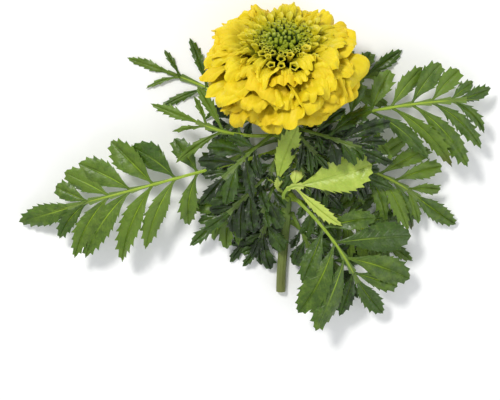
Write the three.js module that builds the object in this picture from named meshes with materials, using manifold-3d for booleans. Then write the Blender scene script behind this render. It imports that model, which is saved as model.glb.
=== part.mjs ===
// African marigold flower, as picked: one double flower head on a leafy stem, lying on a surface.
//
// Millimetres, +Z up. The stem lies along +Y, from its cut end to the head, and rises towards the head,
// whose face looks forwards and up. The head rests on its lowest ray florets and the leaves on their tips.
// Everything is worked out in the plant frame, whose origin is on the surface under the cut end, and the
// group is moved at the end so that its own origin is at the bottom centre of the bounding box.
//
// From outside in, the head is a cup of fused bracts (the involucre), the receptacle that fills it, eight
// rows of ray florets, one row of rolled florets and the packed disc florets. The outermost row's florets
// are separate pieces. In the rows inside it the florets of one row are joined at the base.

import * as THREE from "three";
import Module from "manifold-3d";

const wasm = await Module();
wasm.setup();

// ---------------------------------------------------------------- driving dimensions

const GAP = 0.3; // between pieces that touch

const STEM = {
  length: 115, // along Y
  cutHeight: 2.9, // of the axis above the surface at the cut end
  rise: 26.2, // of the axis, from the cut end to the head
  bend: 2.8, // exponent of the rise: the stem is nearly flat at the cut end and steepest at the head
  sway: 3, // sideways, at half length
  radius: 2.7,
  neckRadius: 3.9, // where the stalk swells under the head
  sides: 10,
  steps: 11,
};
const HEAD_TILT = 30; // degrees that the head's axis rises above the surface

const CUP = {
  height: 16.6,
  footRadius: 4.4,
  bellyRadius: 9.6,
  mouthRadius: 9.9,
  wall: 0.9,
  teeth: 8,
  toothHeight: 2,
};
const CONE = { bottom: 19.2, top: 30.6, bottomRadius: 8.4, topRadius: 1.7 }; // receptacle above the cup

// Each row: florets, tip radius, tip height above the head's base, and the directions in which the floret
// leaves the receptacle and ends, in degrees from the head's axis. Width is at the widest. Each floret is
// rolled, so that one edge of its blade lies over its neighbour.
const ROWS = [
  { florets: 14, tip: [38.4, 10.2], leaves: 90, ends: 150, width: 18.6, roll: 13 },
  { florets: 15, tip: [43, 16.2], leaves: 86, ends: 142, width: 19, roll: 13 },
  { florets: 16, tip: [45.6, 22.4], leaves: 82, ends: 134, width: 18.4, roll: 13 },
  { florets: 16, tip: [45.4, 28.8], leaves: 79, ends: 127, width: 18, roll: 12 },
  { florets: 16, tip: [42.6, 34.8], leaves: 76, ends: 119, width: 17, roll: 11 },
  { florets: 16, tip: [38, 40], leaves: 73, ends: 110, width: 15, roll: 10 },
  { florets: 16, tip: [31.8, 44.1], leaves: 71, ends: 99, width: 12.6, roll: 9 },
  { florets: 16, tip: [25.8, 46.6], leaves: 69, ends: 84, width: 10, roll: 8 },
  { florets: 18, tip: [16.6, 46], leaves: 56, ends: 20, width: 4.6, roll: 0 },
];
const SEPARATE_ROWS = 1;
const FLORET_THICKNESS = 0.6;
const FLORET_FOOT_WIDTH = 1.2;
const BAND = 0.85; // side of the square ring that joins the florets of an inner row
const DISC = { foot: [1.3, 31.5], rim: [12.6, 41.2], crown: 43, rings: [6, 12, 18], bud: 1.6 };

// Leaves, each named by where it lies. The axil leaves are the small ones of the side shoots that begin
// between the stem and the large leaves.
// at: distance of the leaf's foot from the cut end. side: where it leaves the stem, in degrees round it,
// 0 to the right and 90 on top. heading: 0 to the right, 90 towards the head. rise: above the surface.
// turn and fall: how far heading and rise change from foot to tip. length, leaflet and end: of the whole
// leaf, of its longest side leaflet and of the leaflet at its tip. width: of the leaflets, as a share of
// their length. uneven: how much longer than on the left the leaflets on the leaf's right are, as a share.
const LEAVES = [
  // name, at, side, heading, turn, rise, fall, length, pairs, leaflet, end, width, uneven
  ["left_long",       86,  170,  196,    6,   15,  -34,  160,    6,   37,   44, 0.32, -0.14],
  ["right_long",      96,   14,   24,  -30,   20,  -46,  122,    6,   34,   26, 0.32,  0.22],
  ["right_low",       76,    6,   14,  -78,   16,  -40,  110,    5,   31,   38, 0.30,     0],
  ["front",           60,   50,  -36,  -44,   40,  -84,   96,    4,   42,   34, 0.34,     0],
  ["top_pale",        57,   84,  172, -450,   84, -200,   70,    1,   26,   44, 0.44,  0.45],
  ["top_upright",     64,  104,  250, -540,   82, -200,   56,    1,   12,   40, 0.32,     0],
  ["back_left",      100,  196,  150,   14,  -27,   22,   98,    3,   28,   32, 0.26,     0],
  ["left_mid",        97,  150,  184,  -48,   26,  -36,   76,    3,   27,   32, 0.26,     0],
  ["back_right",     100,  -16,   24,   20,  -28,   22,   80,    3,   24,   26, 0.30,     0],
  ["inner_left",      80,  128,  216,   16,   40,  -66,   62,    4,   22,   22, 0.27,     0],
  ["inner_right",     88,   40,   -6,  -38,   24,  -46,   66,    4,   22,   24, 0.27,     0],
  ["over_left",      100,  138,  208,   28,   46,  -64,   64,    4,   22,   24, 0.27,     0],
  ["over_front",     108,   84,  306,  -12,   18,  -30,   38,    4,   16,   14, 0.27,     0],
  ["over_right",     103,   50,   -6,  -22,   44,  -60,   66,    4,   22,   24, 0.27,     0],
  ["mid_left",        70,  176,  210,   16,   12,  -26,   66,    4,   22,   24, 0.27,     0],
  ["mid_right",       56,   -6,  -18,  -22,    0,  -14,   82,    5,   24,   26, 0.27,     0],
  ["low_left",        52,  200,  226,    8,   -6,   -4,   46,    3,   16,   17, 0.30,     0],
  ["low_right",       42,  -10,  -40,  -20,   -4,   -4,   62,    4,   18,   20, 0.30,     0],
  ["axil_left_1",    107,  192,  190,   20,  -16,   -4,   44,    3,   17,   16, 0.30,     0],
  ["axil_left_2",     92,  200,  200,   24,  -20,   10,   52,    3,   18,   18, 0.30,     0],
  ["axil_left_3",     93,  116,  250,    4,   26,  -50,   30,    3,   12,   12, 0.32,     0],
  ["axil_left_4",     74,  142,  240,   14,   34,  -54,   40,    3,   17,   16, 0.30,     0],
  ["axil_left_5",     64,  194,  200,   16,  -10,    4,   52,    3,   18,   18, 0.30,     0],
  ["axil_left_6",     60,  164,  244,    8,   14,  -30,   42,    3,   17,   16, 0.30,     0],
  ["axil_left_7",     44,  176,  232,    8,   10,  -20,   36,    3,   16,   15, 0.30,     0],
  ["axil_right_1",   108,  -26,  -44,  -20,  -14,   -4,   44,    3,   17,   16, 0.30,     0],
  ["axil_right_2",    94,  -20,  -10,  -20,  -20,   12,   54,    3,   18,   18, 0.30,     0],
  ["axil_right_3",    95,   66,  -62,  -10,   22,  -40,   36,    3,   16,   14, 0.30,     0],
  ["axil_right_4",    82,   20,  -40,  -14,   16,  -34,   44,    3,   17,   16, 0.30,     0],
  ["axil_right_5",    68,   24,  -50,  -10,   10,  -24,   44,    3,   17,   16, 0.30,     0],
  ["axil_right_6",    68,  -16,    6,  -24,   -8,    2,   52,    3,   18,   18, 0.30,     0],
  ["axil_right_7",    48,   30,  -60,  -10,   20,  -40,   38,    3,   16,   15, 0.30,     0],
].map(([name, at, side, heading, turn, rise, fall, length, pairs, leaflet, end, width, uneven]) => {
  return { name, at, side, heading, turn, rise, fall, length, pairs, leaflet, end, width, uneven };
});

const PETIOLE_RADIUS = 1.15;
const LEAFLET_HALF_THICKNESS = 0.35;
const FIRST_LEAFLET = 0.3; // share of the leaf's length before its first pair

// ---------------------------------------------------------------- small tools

const deg = Math.PI / 180;
const UP = new THREE.Vector3(0, 0, 1);
const lerp = THREE.MathUtils.lerp;

/** A point moved by several weighted directions. */
function offset(point, ...moves) {
  const moved = point.clone();
  for (const [direction, amount] of moves) moved.addScaledVector(direction, amount);
  return moved;
}

/** A closed geometry from shared vertices and triangles, turned so that its faces point out. */
function closedGeometry(vertices, triangles) {
  let volume = 0;
  for (const [a, b, c] of triangles)
    volume += vertices[a].dot(vertices[b].clone().cross(vertices[c]));
  const facing = volume < 0 ? triangles.map(([a, b, c]) => [a, c, b]) : triangles;
  return new THREE.BufferGeometry()
    .setAttribute("position", new THREE.Float32BufferAttribute(vertices.flatMap((v) => [v.x, v.y, v.z]), 3))
    .setIndex(facing.flat());
}

/** A solid through rings of points that all have the same count. A ring of one point is a pointed end. */
function loft(rings) {
  const vertices = rings.flat();
  const triangles = [];
  const sides = Math.max(...rings.map((ring) => ring.length));
  let first = 0;
  for (let i = 0; i + 1 < rings.length; i++) {
    const [here, next] = [rings[i], rings[i + 1]];
    const second = first + here.length;
    for (let j = 0; j < sides; j++) {
      const k = (j + 1) % sides;
      if (here.length > 1) triangles.push([first + j, first + k, second + (next.length > 1 ? k : 0)]);
      if (next.length > 1) triangles.push([first + (here.length > 1 ? j : 0), second + k, second + j]);
    }
    first = second;
  }
  for (let j = 1; j + 1 < rings[0].length; j++) triangles.push([0, j + 1, j]);
  for (let j = 1; j + 1 < rings.at(-1).length; j++) triangles.push([first, first + j, first + j + 1]);
  return closedGeometry(vertices, triangles);
}

/** A solid of revolution about the head's axis from a closed profile of [radius, height] points. */
function revolve(profile, segments) {
  const onAxis = (p) => p[0] < 1e-6;
  const vertices = [];
  const at = profile.map((p) => {
    const start = vertices.length;
    const count = onAxis(p) ? 1 : segments;
    for (let j = 0; j < count; j++) vertices.push(headPoint(p[0], (j / segments) * 360, p[1]));
    return (j) => start + (onAxis(p) ? 0 : j % segments);
  });
  const triangles = [];
  profile.forEach((p, i) => {
    const n = (i + 1) % profile.length;
    for (let j = 0; j < segments; j++) {
      if (!onAxis(p)) triangles.push([at[i](j), at[i](j + 1), at[n](j + 1)]);
      if (!onAxis(profile[n])) triangles.push([at[i](j), at[n](j + 1), at[n](j)]);
    }
  });
  return closedGeometry(vertices, triangles);
}

/** One solid from several that overlap. */
function joined(geometries) {
  const solids = geometries.map(
    (g) =>
      new wasm.Manifold(
        new wasm.Mesh({
          numProp: 3,
          vertProperties: new Float32Array(g.attributes.position.array),
          triVerts: new Uint32Array(g.index.array),
        }),
      ),
  );
  const mesh = solids.reduce((whole, solid) => whole.add(solid)).getMesh();
  return new THREE.BufferGeometry()
    .setAttribute("position", new THREE.BufferAttribute(new Float32Array(mesh.vertProperties), 3))
    .setIndex(new THREE.BufferAttribute(new Uint32Array(mesh.triVerts), 1));
}

// ---------------------------------------------------------------- stem

/** The stem's axis at a distance y from the cut end, with its tangent and the directions across it. */
function stemFrame(y) {
  const share = y / STEM.length;
  const point = new THREE.Vector3(
    STEM.sway * Math.sin(Math.PI * share) ** 2,
    y,
    STEM.cutHeight + STEM.rise * share ** STEM.bend,
  );
  const tangent = new THREE.Vector3(
    (STEM.sway * Math.PI * Math.sin(2 * Math.PI * share)) / STEM.length,
    1,
    (STEM.rise * STEM.bend * share ** (STEM.bend - 1)) / STEM.length,
  ).normalize();
  const right = tangent.clone().cross(UP).normalize();
  return { point, tangent, right, up: right.clone().cross(tangent) };
}

/** Radius of the stem: even, then swelling over the last quarter towards the head. */
function stemRadius(y) {
  return lerp(STEM.radius, STEM.neckRadius, THREE.MathUtils.smoothstep(y / STEM.length, 0.72, 1));
}

function stemGeometry() {
  const rings = [];
  for (let i = 0; i <= STEM.steps; i++) {
    const y = (i / STEM.steps) * STEM.length;
    const { point, right, up } = stemFrame(y);
    const ring = [];
    for (let j = 0; j < STEM.sides; j++) {
      const a = (j / STEM.sides) * 2 * Math.PI;
      ring.push(offset(point, [right, stemRadius(y) * Math.cos(a)], [up, stemRadius(y) * Math.sin(a)]));
    }
    rings.push(ring);
  }
  return loft(rings);
}

// ---------------------------------------------------------------- flower head

const HEAD_BASE = stemFrame(STEM.length).point;
const HEAD_AXIS = new THREE.Vector3(0, Math.cos(HEAD_TILT * deg), Math.sin(HEAD_TILT * deg));
const HEAD_RIGHT = new THREE.Vector3(1, 0, 0);
const HEAD_DOWN = HEAD_AXIS.clone().cross(HEAD_RIGHT);

/** Height of a petal that the head's weight presses on the surface: squeezed near and below it. */
function pressed(z) {
  const softness = 4;
  const give = 0.85;
  return z + give * ((Math.hypot(z, softness) - z) / 2);
}

/** A point of the head from its distance to the axis, the angle round it and its height above the base. */
function headPoint(radius, angle, height) {
  const p = offset(
    HEAD_BASE,
    [HEAD_AXIS, height],
    [HEAD_RIGHT, radius * Math.cos(angle * deg)],
    [HEAD_DOWN, radius * Math.sin(angle * deg)],
  );
  return p.setZ(pressed(p.z));
}

/** The receptacle's cone: its point at a share of the way up, moved out by a clearance. */
function conePoint(share, clearance = 0) {
  const slope = Math.atan2(CONE.bottomRadius - CONE.topRadius, CONE.top - CONE.bottom);
  return [
    lerp(CONE.bottomRadius, CONE.topRadius, share) + clearance * Math.cos(slope),
    lerp(CONE.bottom, CONE.top, share) + clearance * Math.sin(slope),
  ];
}

function cupGeometry() {
  const foot = GAP;
  const profile = [
    [0, foot],
    [CUP.footRadius, foot],
    [CUP.bellyRadius, foot + 6],
    [CUP.bellyRadius + 0.2, foot + 12],
    [CUP.mouthRadius, CUP.height],
    [CUP.mouthRadius - CUP.wall, CUP.height],
    [CUP.bellyRadius + 0.2 - CUP.wall, foot + 12],
    [CUP.bellyRadius - CUP.wall, foot + 6.6],
    [CUP.footRadius - CUP.wall, foot + 1.2],
    [0, foot + 1.2],
  ];
  const body = revolve(profile, 2 * CUP.teeth);
  const tooth = (i) => {
    const half = 180 / CUP.teeth / 1.15;
    const angle = (i * 360) / CUP.teeth;
    const corner = (radius, turn) => headPoint(radius, angle + turn, CUP.height - 1);
    const [outer, inner] = [CUP.mouthRadius, CUP.mouthRadius - CUP.wall];
    return loft([
      [corner(outer, -half), corner(outer, half), corner(inner, half), corner(inner, -half)],
      [headPoint((outer + inner) / 2, angle, CUP.height + CUP.toothHeight)],
    ]);
  };
  return joined([body, ...Array.from({ length: CUP.teeth }, (_, i) => tooth(i))]);
}

function receptacleGeometry() {
  const inside = GAP + CUP.wall;
  return revolve(
    [
      [0, 1.2 + 2 * GAP],
      [CUP.footRadius - inside, 1.5 + 2 * GAP],
      [CUP.bellyRadius - inside - 0.1, 7.4 + GAP],
      [CUP.bellyRadius - inside, 12.2],
      conePoint(0),
      conePoint(1),
      [0, CONE.top],
    ],
    14,
  );
}

/** The middle line of a row's florets, as [radius, height], from the receptacle at 0 to the tip at 1. */
function floretLine(row, share) {
  const foot = conePoint((row + 0.5) / ROWS.length, GAP + BAND / 2);
  const { tip, leaves, ends } = ROWS[row];
  const reach = Math.hypot(tip[0] - foot[0], tip[1] - foot[1]);
  const [outset, inset] = [reach * 0.36, reach * 0.34];
  const curve = new THREE.CubicBezierCurve(
    new THREE.Vector2(...foot),
    new THREE.Vector2(foot[0] + outset * Math.sin(leaves * deg), foot[1] + outset * Math.cos(leaves * deg)),
    new THREE.Vector2(tip[0] - inset * Math.sin(ends * deg), tip[1] - inset * Math.cos(ends * deg)),
    new THREE.Vector2(...tip),
  );
  return { point: curve.getPoint(share), along: curve.getTangent(share) };
}

/** Share of the full width: a narrow claw that opens into a broad blade with a rounded end. */
function floretWidth(share) {
  const { smoothstep } = THREE.MathUtils;
  return smoothstep(share, 0.1, 0.72) * (1 - 0.35 * smoothstep(share, 0.82, 1));
}

function floretGeometry(row, number, shares) {
  const { florets, width, roll } = ROWS[row];
  const angle = ((number + (row % 2) / 2) / florets) * 360;
  const rings = shares.map((share) => {
    const { point, along } = floretLine(row, share);
    const half = (FLORET_FOOT_WIDTH + (width - FLORET_FOOT_WIDTH) * floretWidth(share)) / 2;
    const turn = half / point.x / deg;
    const tilt = half * Math.sin(roll * deg) * THREE.MathUtils.smoothstep(share, 0.2, 0.7);
    const corner = (side, face) => {
      const lift = side * tilt + (face * FLORET_THICKNESS) / 2;
      return headPoint(point.x - lift * along.y, angle + side * turn, point.y + lift * along.x);
    };
    return [corner(-1, 1), corner(1, 1), corner(1, -1), corner(-1, -1)];
  });
  return loft(rings);
}

/** All florets of one row, joined at their feet by a band round the receptacle. */
function rowGeometry(row) {
  const [radius, height] = conePoint((row + 0.5) / ROWS.length, GAP + BAND / 2);
  const h = BAND / 2;
  const band = revolve(
    [
      [radius - h, height - h],
      [radius + h, height - h],
      [radius + h, height + h],
      [radius - h, height + h],
    ],
    ROWS[row].florets,
  );
  const numbers = Array.from({ length: ROWS[row].florets }, (_, i) => i);
  return joined([band, ...numbers.map((i) => floretGeometry(row, i, [0, 0.4, 0.72, 1]))]);
}

/** The disc florets: a brush that widens upwards and ends in rings of small buds. */
function discGeometry() {
  const [foot, rim] = [DISC.foot, DISC.rim];
  const brush = revolve(
    [
      [0, foot[1]],
      foot,
      [lerp(foot[0], rim[0], 0.3), lerp(foot[1], rim[1], 0.42)],
      rim,
      [rim[0] * 0.5, DISC.crown - 0.4],
      [0, DISC.crown],
    ],
    18,
  );
  const buds = DISC.rings.flatMap((count, ring) =>
    Array.from({ length: count }, (_, i) => {
      const radius = (rim[0] - DISC.bud) * ((ring + 1) / DISC.rings.length);
      const angle = ((i + ring / 2) / count) * 360;
      const bottom = DISC.crown - 2.6 - 1.2 * (radius / rim[0]);
      const square = (size, height) =>
        [45, 135, 225, 315].map((a) => {
          const [x, y] = [
            radius * Math.cos(angle * deg) + size * Math.cos(a * deg),
            radius * Math.sin(angle * deg) + size * Math.sin(a * deg),
          ];
          return headPoint(Math.hypot(x, y), Math.atan2(y, x) / deg, height);
        });
      return loft([
        square(DISC.bud * 0.7, bottom),
        square(DISC.bud, bottom + 3.6),
        square(DISC.bud * 0.6, bottom + 4.6),
      ]);
    }),
  );
  return joined([brush, ...buds]);
}

// ---------------------------------------------------------------- leaves

/** Height of a leaf that lies on the surface: it comes down softly and then runs along it. */
function restedHeight(z) {
  const lowest = 0.75;
  const softness = 3;
  return lowest + (z - lowest + Math.hypot(z - lowest, softness)) / 2 - softness * 0.12;
}

/** A curve that starts at a point and bends evenly: its directions are given by a function of the share. */
function bentPath(start, length, direction, steps) {
  const points = [start.clone()];
  const p = start.clone();
  for (let i = 0; i < steps; i++) {
    p.addScaledVector(direction((i + 0.5) / steps), length / steps);
    points.push(p.clone());
  }
  return points.map((q, i) => (i === 0 ? q : q.setZ(restedHeight(q.z))));
}

/** The leaf's midrib as a function of the share of its length: point, direction, and across and over it. */
function midrib(leaf) {
  const direction = (share) => {
    const heading = (leaf.heading + leaf.turn * share) * deg;
    const rise = (leaf.rise + leaf.fall * share) * deg;
    return new THREE.Vector3(
      Math.cos(rise) * Math.cos(heading),
      Math.cos(rise) * Math.sin(heading),
      Math.sin(rise),
    );
  };
  const { point, right, up } = stemFrame(leaf.at);
  const side = leaf.side * deg;
  const outward = offset(new THREE.Vector3(), [right, Math.cos(side)], [up, Math.sin(side)]);
  const slant = Math.sqrt(1 - direction(0).dot(outward) ** 2); // of the foot's flat end against the stem
  const start = offset(point, [outward, stemRadius(leaf.at) + GAP + PETIOLE_RADIUS * slant]);
  const steps = 20;
  const points = bentPath(start, leaf.length, direction, steps);
  return (share) => {
    const i = Math.min(Math.floor(share * steps), steps - 1);
    const along = points[i + 1].clone().sub(points[i]).normalize();
    const across = along.clone().cross(UP).normalize();
    return {
      point: points[i].clone().lerp(points[i + 1], share * steps - i),
      along,
      across,
      over: across.clone().cross(along),
    };
  };
}

/** One leaflet: a thin blade, thickest on its midrib, that leaves the leaf's midrib at an angle. */
function leafletGeometry({ point, along, across, over }, leaflet) {
  const { side, angle, length, width, lift, droop, curl } = leaflet;
  const steps = 8;
  const heading = (share) => (angle - curl * share) * deg;
  const points = bentPath(
    point,
    length,
    (share) => {
      const rise = (lift - droop * share) * deg;
      return new THREE.Vector3()
        .addScaledVector(along, Math.cos(rise) * Math.cos(heading(share)))
        .addScaledVector(across, Math.cos(rise) * Math.sin(heading(share)) * side)
        .addScaledVector(over, Math.sin(rise));
    },
    steps,
  );
  const blade = [
    [0, 0.16],
    [4, 1],
  ].map(([i, share]) => {
    const sideways = new THREE.Vector3()
      .addScaledVector(along, -Math.sin(heading(i / steps)))
      .addScaledVector(across, Math.cos(heading(i / steps)) * side);
    const half = (width * share) / 2;
    return [
      offset(points[i], [sideways, half]),
      offset(points[i], [over, LEAFLET_HALF_THICKNESS]),
      offset(points[i], [sideways, -half]),
      offset(points[i], [over, -LEAFLET_HALF_THICKNESS]),
    ];
  });
  return loft([...blade, [points[steps]]]);
}

/** Length of a leaflet as a share of the longest, by its place on the leaf. */
function leafletShare(place) {
  return 0.42 + 0.58 * Math.sin(Math.PI * THREE.MathUtils.clamp(0.12 + 0.62 * place, 0, 1));
}

/** A leaf's leaflets in order from its foot: where on the midrib, how large, and how they stand. */
function leaflets(leaf) {
  const last = 1 - leaf.end / leaf.length;
  const list = [];
  for (let i = 0; i < leaf.pairs; i++) {
    const place = leaf.pairs > 1 ? i / (leaf.pairs - 1) : 1;
    for (const side of [-1, 1]) {
      const even = leaf.leaflet * leafletShare(place);
      list.push({
        share: lerp(Math.min(FIRST_LEAFLET, last), last - 0.02, place),
        side,
        angle: lerp(70, 44, place),
        length: even * (1 + side * leaf.uneven),
        width: even * leaf.width,
        lift: 6,
        droop: 22,
        curl: 14,
      });
    }
  }
  const terminal = { side: 1, angle: 0, lift: 0, droop: 10, curl: 0 };
  list.push({ ...terminal, share: last, length: leaf.end, width: leaf.end * leaf.width });
  return list;
}

function leafGeometry(leaf) {
  const rib = midrib(leaf);
  const last = 1 - leaf.end / leaf.length;
  const tube = [0, 0.25, 0.5, 0.75, 1].map((step) => {
    const share = step * (last + 0.02);
    const { point, across, over } = rib(share);
    const radius = PETIOLE_RADIUS * (1 - 0.62 * share);
    return [
      offset(point, [across, radius]),
      offset(point, [over, radius]),
      offset(point, [across, -radius]),
      offset(point, [over, -radius]),
    ];
  });
  return joined([loft(tube), ...leaflets(leaf).map((one) => leafletGeometry(rib(one.share), one))]);
}

// ---------------------------------------------------------------- materials and assembly

const finish = (color, roughness) => new THREE.MeshStandardMaterial({ color, roughness, metalness: 0 });
const YELLOW = finish(0xf2d62a, 0.55);
const YELLOW_GREEN = finish(0xb9bd33, 0.55);
const GREEN_DISC = finish(0x6f8a22, 0.5);
const LEAF_GREEN = finish(0x3f6b26, 0.4);
const PALE_LEAF = finish(0xa9c24f, 0.5);
const STEM_GREEN = finish(0x7f9c46, 0.5);

const flower = new THREE.Group();

function add(name, geometry, material) {
  const mesh = new THREE.Mesh(geometry, material);
  mesh.name = name;
  flower.add(mesh);
}

add("stem", stemGeometry(), STEM_GREEN);
add("involucre", cupGeometry(), STEM_GREEN);
add("receptacle", receptacleGeometry(), STEM_GREEN);
ROWS.forEach((row, i) => {
  const name = i === ROWS.length - 1 ? "rolled_florets" : `ray_florets_row_${i + 1}`;
  if (i >= SEPARATE_ROWS) {
    add(name, rowGeometry(i), i === ROWS.length - 1 ? YELLOW_GREEN : YELLOW);
    return;
  }
  for (let j = 0; j < row.florets; j++) {
    const label = `ray_floret_row_${i + 1}_${String(j + 1).padStart(2, "0")}`;
    add(label, floretGeometry(i, j, [0, 0.3, 0.55, 0.8, 1]), YELLOW);
  }
});
add("disc_florets", discGeometry(), GREEN_DISC);
for (const leaf of LEAVES)
  add(`leaf_${leaf.name}`, leafGeometry(leaf), leaf.name.startsWith("top") ? PALE_LEAF : LEAF_GREEN);

flower.updateMatrixWorld(true);
const box = new THREE.Box3().setFromObject(flower);
flower.position.set(-(box.min.x + box.max.x) / 2, -(box.min.y + box.max.y) / 2, -box.min.z);

export default flower;
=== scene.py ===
"""African marigold flower, as picked and laid down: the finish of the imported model.

Shapes are worked out in millimetres in the plant's own frame, whose origin is on the surface under the
stem's cut end, with the stem along +Y and +Z up. When a mesh is made, they move into the model's frame and
become metres. The sizes and places of rows and leaves start from the CAD model's. Florets are then turned,
leaned, lengthened and widened at random, and five leaves are turned or shaped otherwise, so a petal lies up
to 21 mm from the surface of its own node and a leaf up to 18 mm.
"""

import math
from collections import namedtuple

import bpy
import numpy as np
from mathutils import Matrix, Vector


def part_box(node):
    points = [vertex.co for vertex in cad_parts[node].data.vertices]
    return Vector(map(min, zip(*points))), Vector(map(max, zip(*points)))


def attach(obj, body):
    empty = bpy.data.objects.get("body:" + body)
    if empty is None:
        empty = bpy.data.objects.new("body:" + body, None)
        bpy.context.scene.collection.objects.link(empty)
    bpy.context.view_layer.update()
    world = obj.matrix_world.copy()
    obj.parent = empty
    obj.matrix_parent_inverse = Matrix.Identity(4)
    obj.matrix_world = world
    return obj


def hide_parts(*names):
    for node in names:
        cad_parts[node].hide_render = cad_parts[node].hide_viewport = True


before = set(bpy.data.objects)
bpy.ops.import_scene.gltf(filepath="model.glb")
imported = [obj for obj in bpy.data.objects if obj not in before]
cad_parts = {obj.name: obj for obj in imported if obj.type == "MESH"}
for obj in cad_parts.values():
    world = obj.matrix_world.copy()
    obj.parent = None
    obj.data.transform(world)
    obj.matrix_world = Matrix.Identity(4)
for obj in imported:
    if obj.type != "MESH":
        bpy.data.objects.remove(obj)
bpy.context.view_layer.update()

MM = 0.001
UP = np.array([0.0, 0.0, 1.0])

# ---------------------------------------------------------------- sizes that start from the CAD model

STEM_LENGTH = 115.0
STEM_CUT_HEIGHT = 2.9
STEM_RISE = 26.2
STEM_BEND = 2.8
STEM_SWAY = 3.0
STEM_RADIUS = 2.7
NECK_RADIUS = 3.9
CAD_STEM_SIDES = 10
CAD_STEM_STEPS = 11
HEAD_TILT = math.radians(30)
FOOT_GAP = 0.3  # between the stem and a leaf's foot
FLOOR_GAP = 0.25  # between the surface and what rests on it

CUP_HEIGHT = 16.6
CUP_FOOT_RADIUS = 4.4
CUP_BELLY_RADIUS = 9.6
CUP_MOUTH_RADIUS = 9.9
CUP_WALL = 0.9
CUP_BRACTS = 8
CUP_TOOTH = 2.0

CONE_BOTTOM = 19.2
CONE_TOP = 30.6
CONE_BOTTOM_RADIUS = 8.4
CONE_TOP_RADIUS = 1.7

Row = namedtuple("Row", "florets tip_radius tip_height foot_way tip_way width roll")
ROWS = [  # the ways of a floret's middle line at its foot and tip are in degrees from the head's axis
    Row(14, 38.4, 10.2, 90, 150, 18.6, 13),
    Row(15, 43.0, 16.2, 86, 142, 19.0, 13),
    Row(16, 45.6, 22.4, 82, 134, 18.4, 13),
    Row(16, 45.4, 28.8, 79, 127, 18.0, 12),
    Row(16, 42.6, 34.8, 76, 119, 17.0, 11),
    Row(16, 38.0, 40.0, 73, 110, 15.0, 10),
    Row(16, 31.8, 44.1, 71, 99, 12.6, 9),
    Row(16, 25.8, 46.6, 69, 84, 10.0, 8),
    Row(18, 16.6, 46.0, 56, 20, 4.6, 0),
]
ROLLED_ROW = len(ROWS) - 1
LAST_RAY_ROW = ROLLED_ROW - 1
SEPARATE_ROWS = 1
FOOT_HANDLE = 0.36  # of the curve that a middle line follows, as a share of its reach
TIP_HANDLE = 0.34
FLORET_FOOT_WIDTH = 1.2
FOOT_CLEARANCE = 0.725
DISC_RADIUS = 12.6

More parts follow.
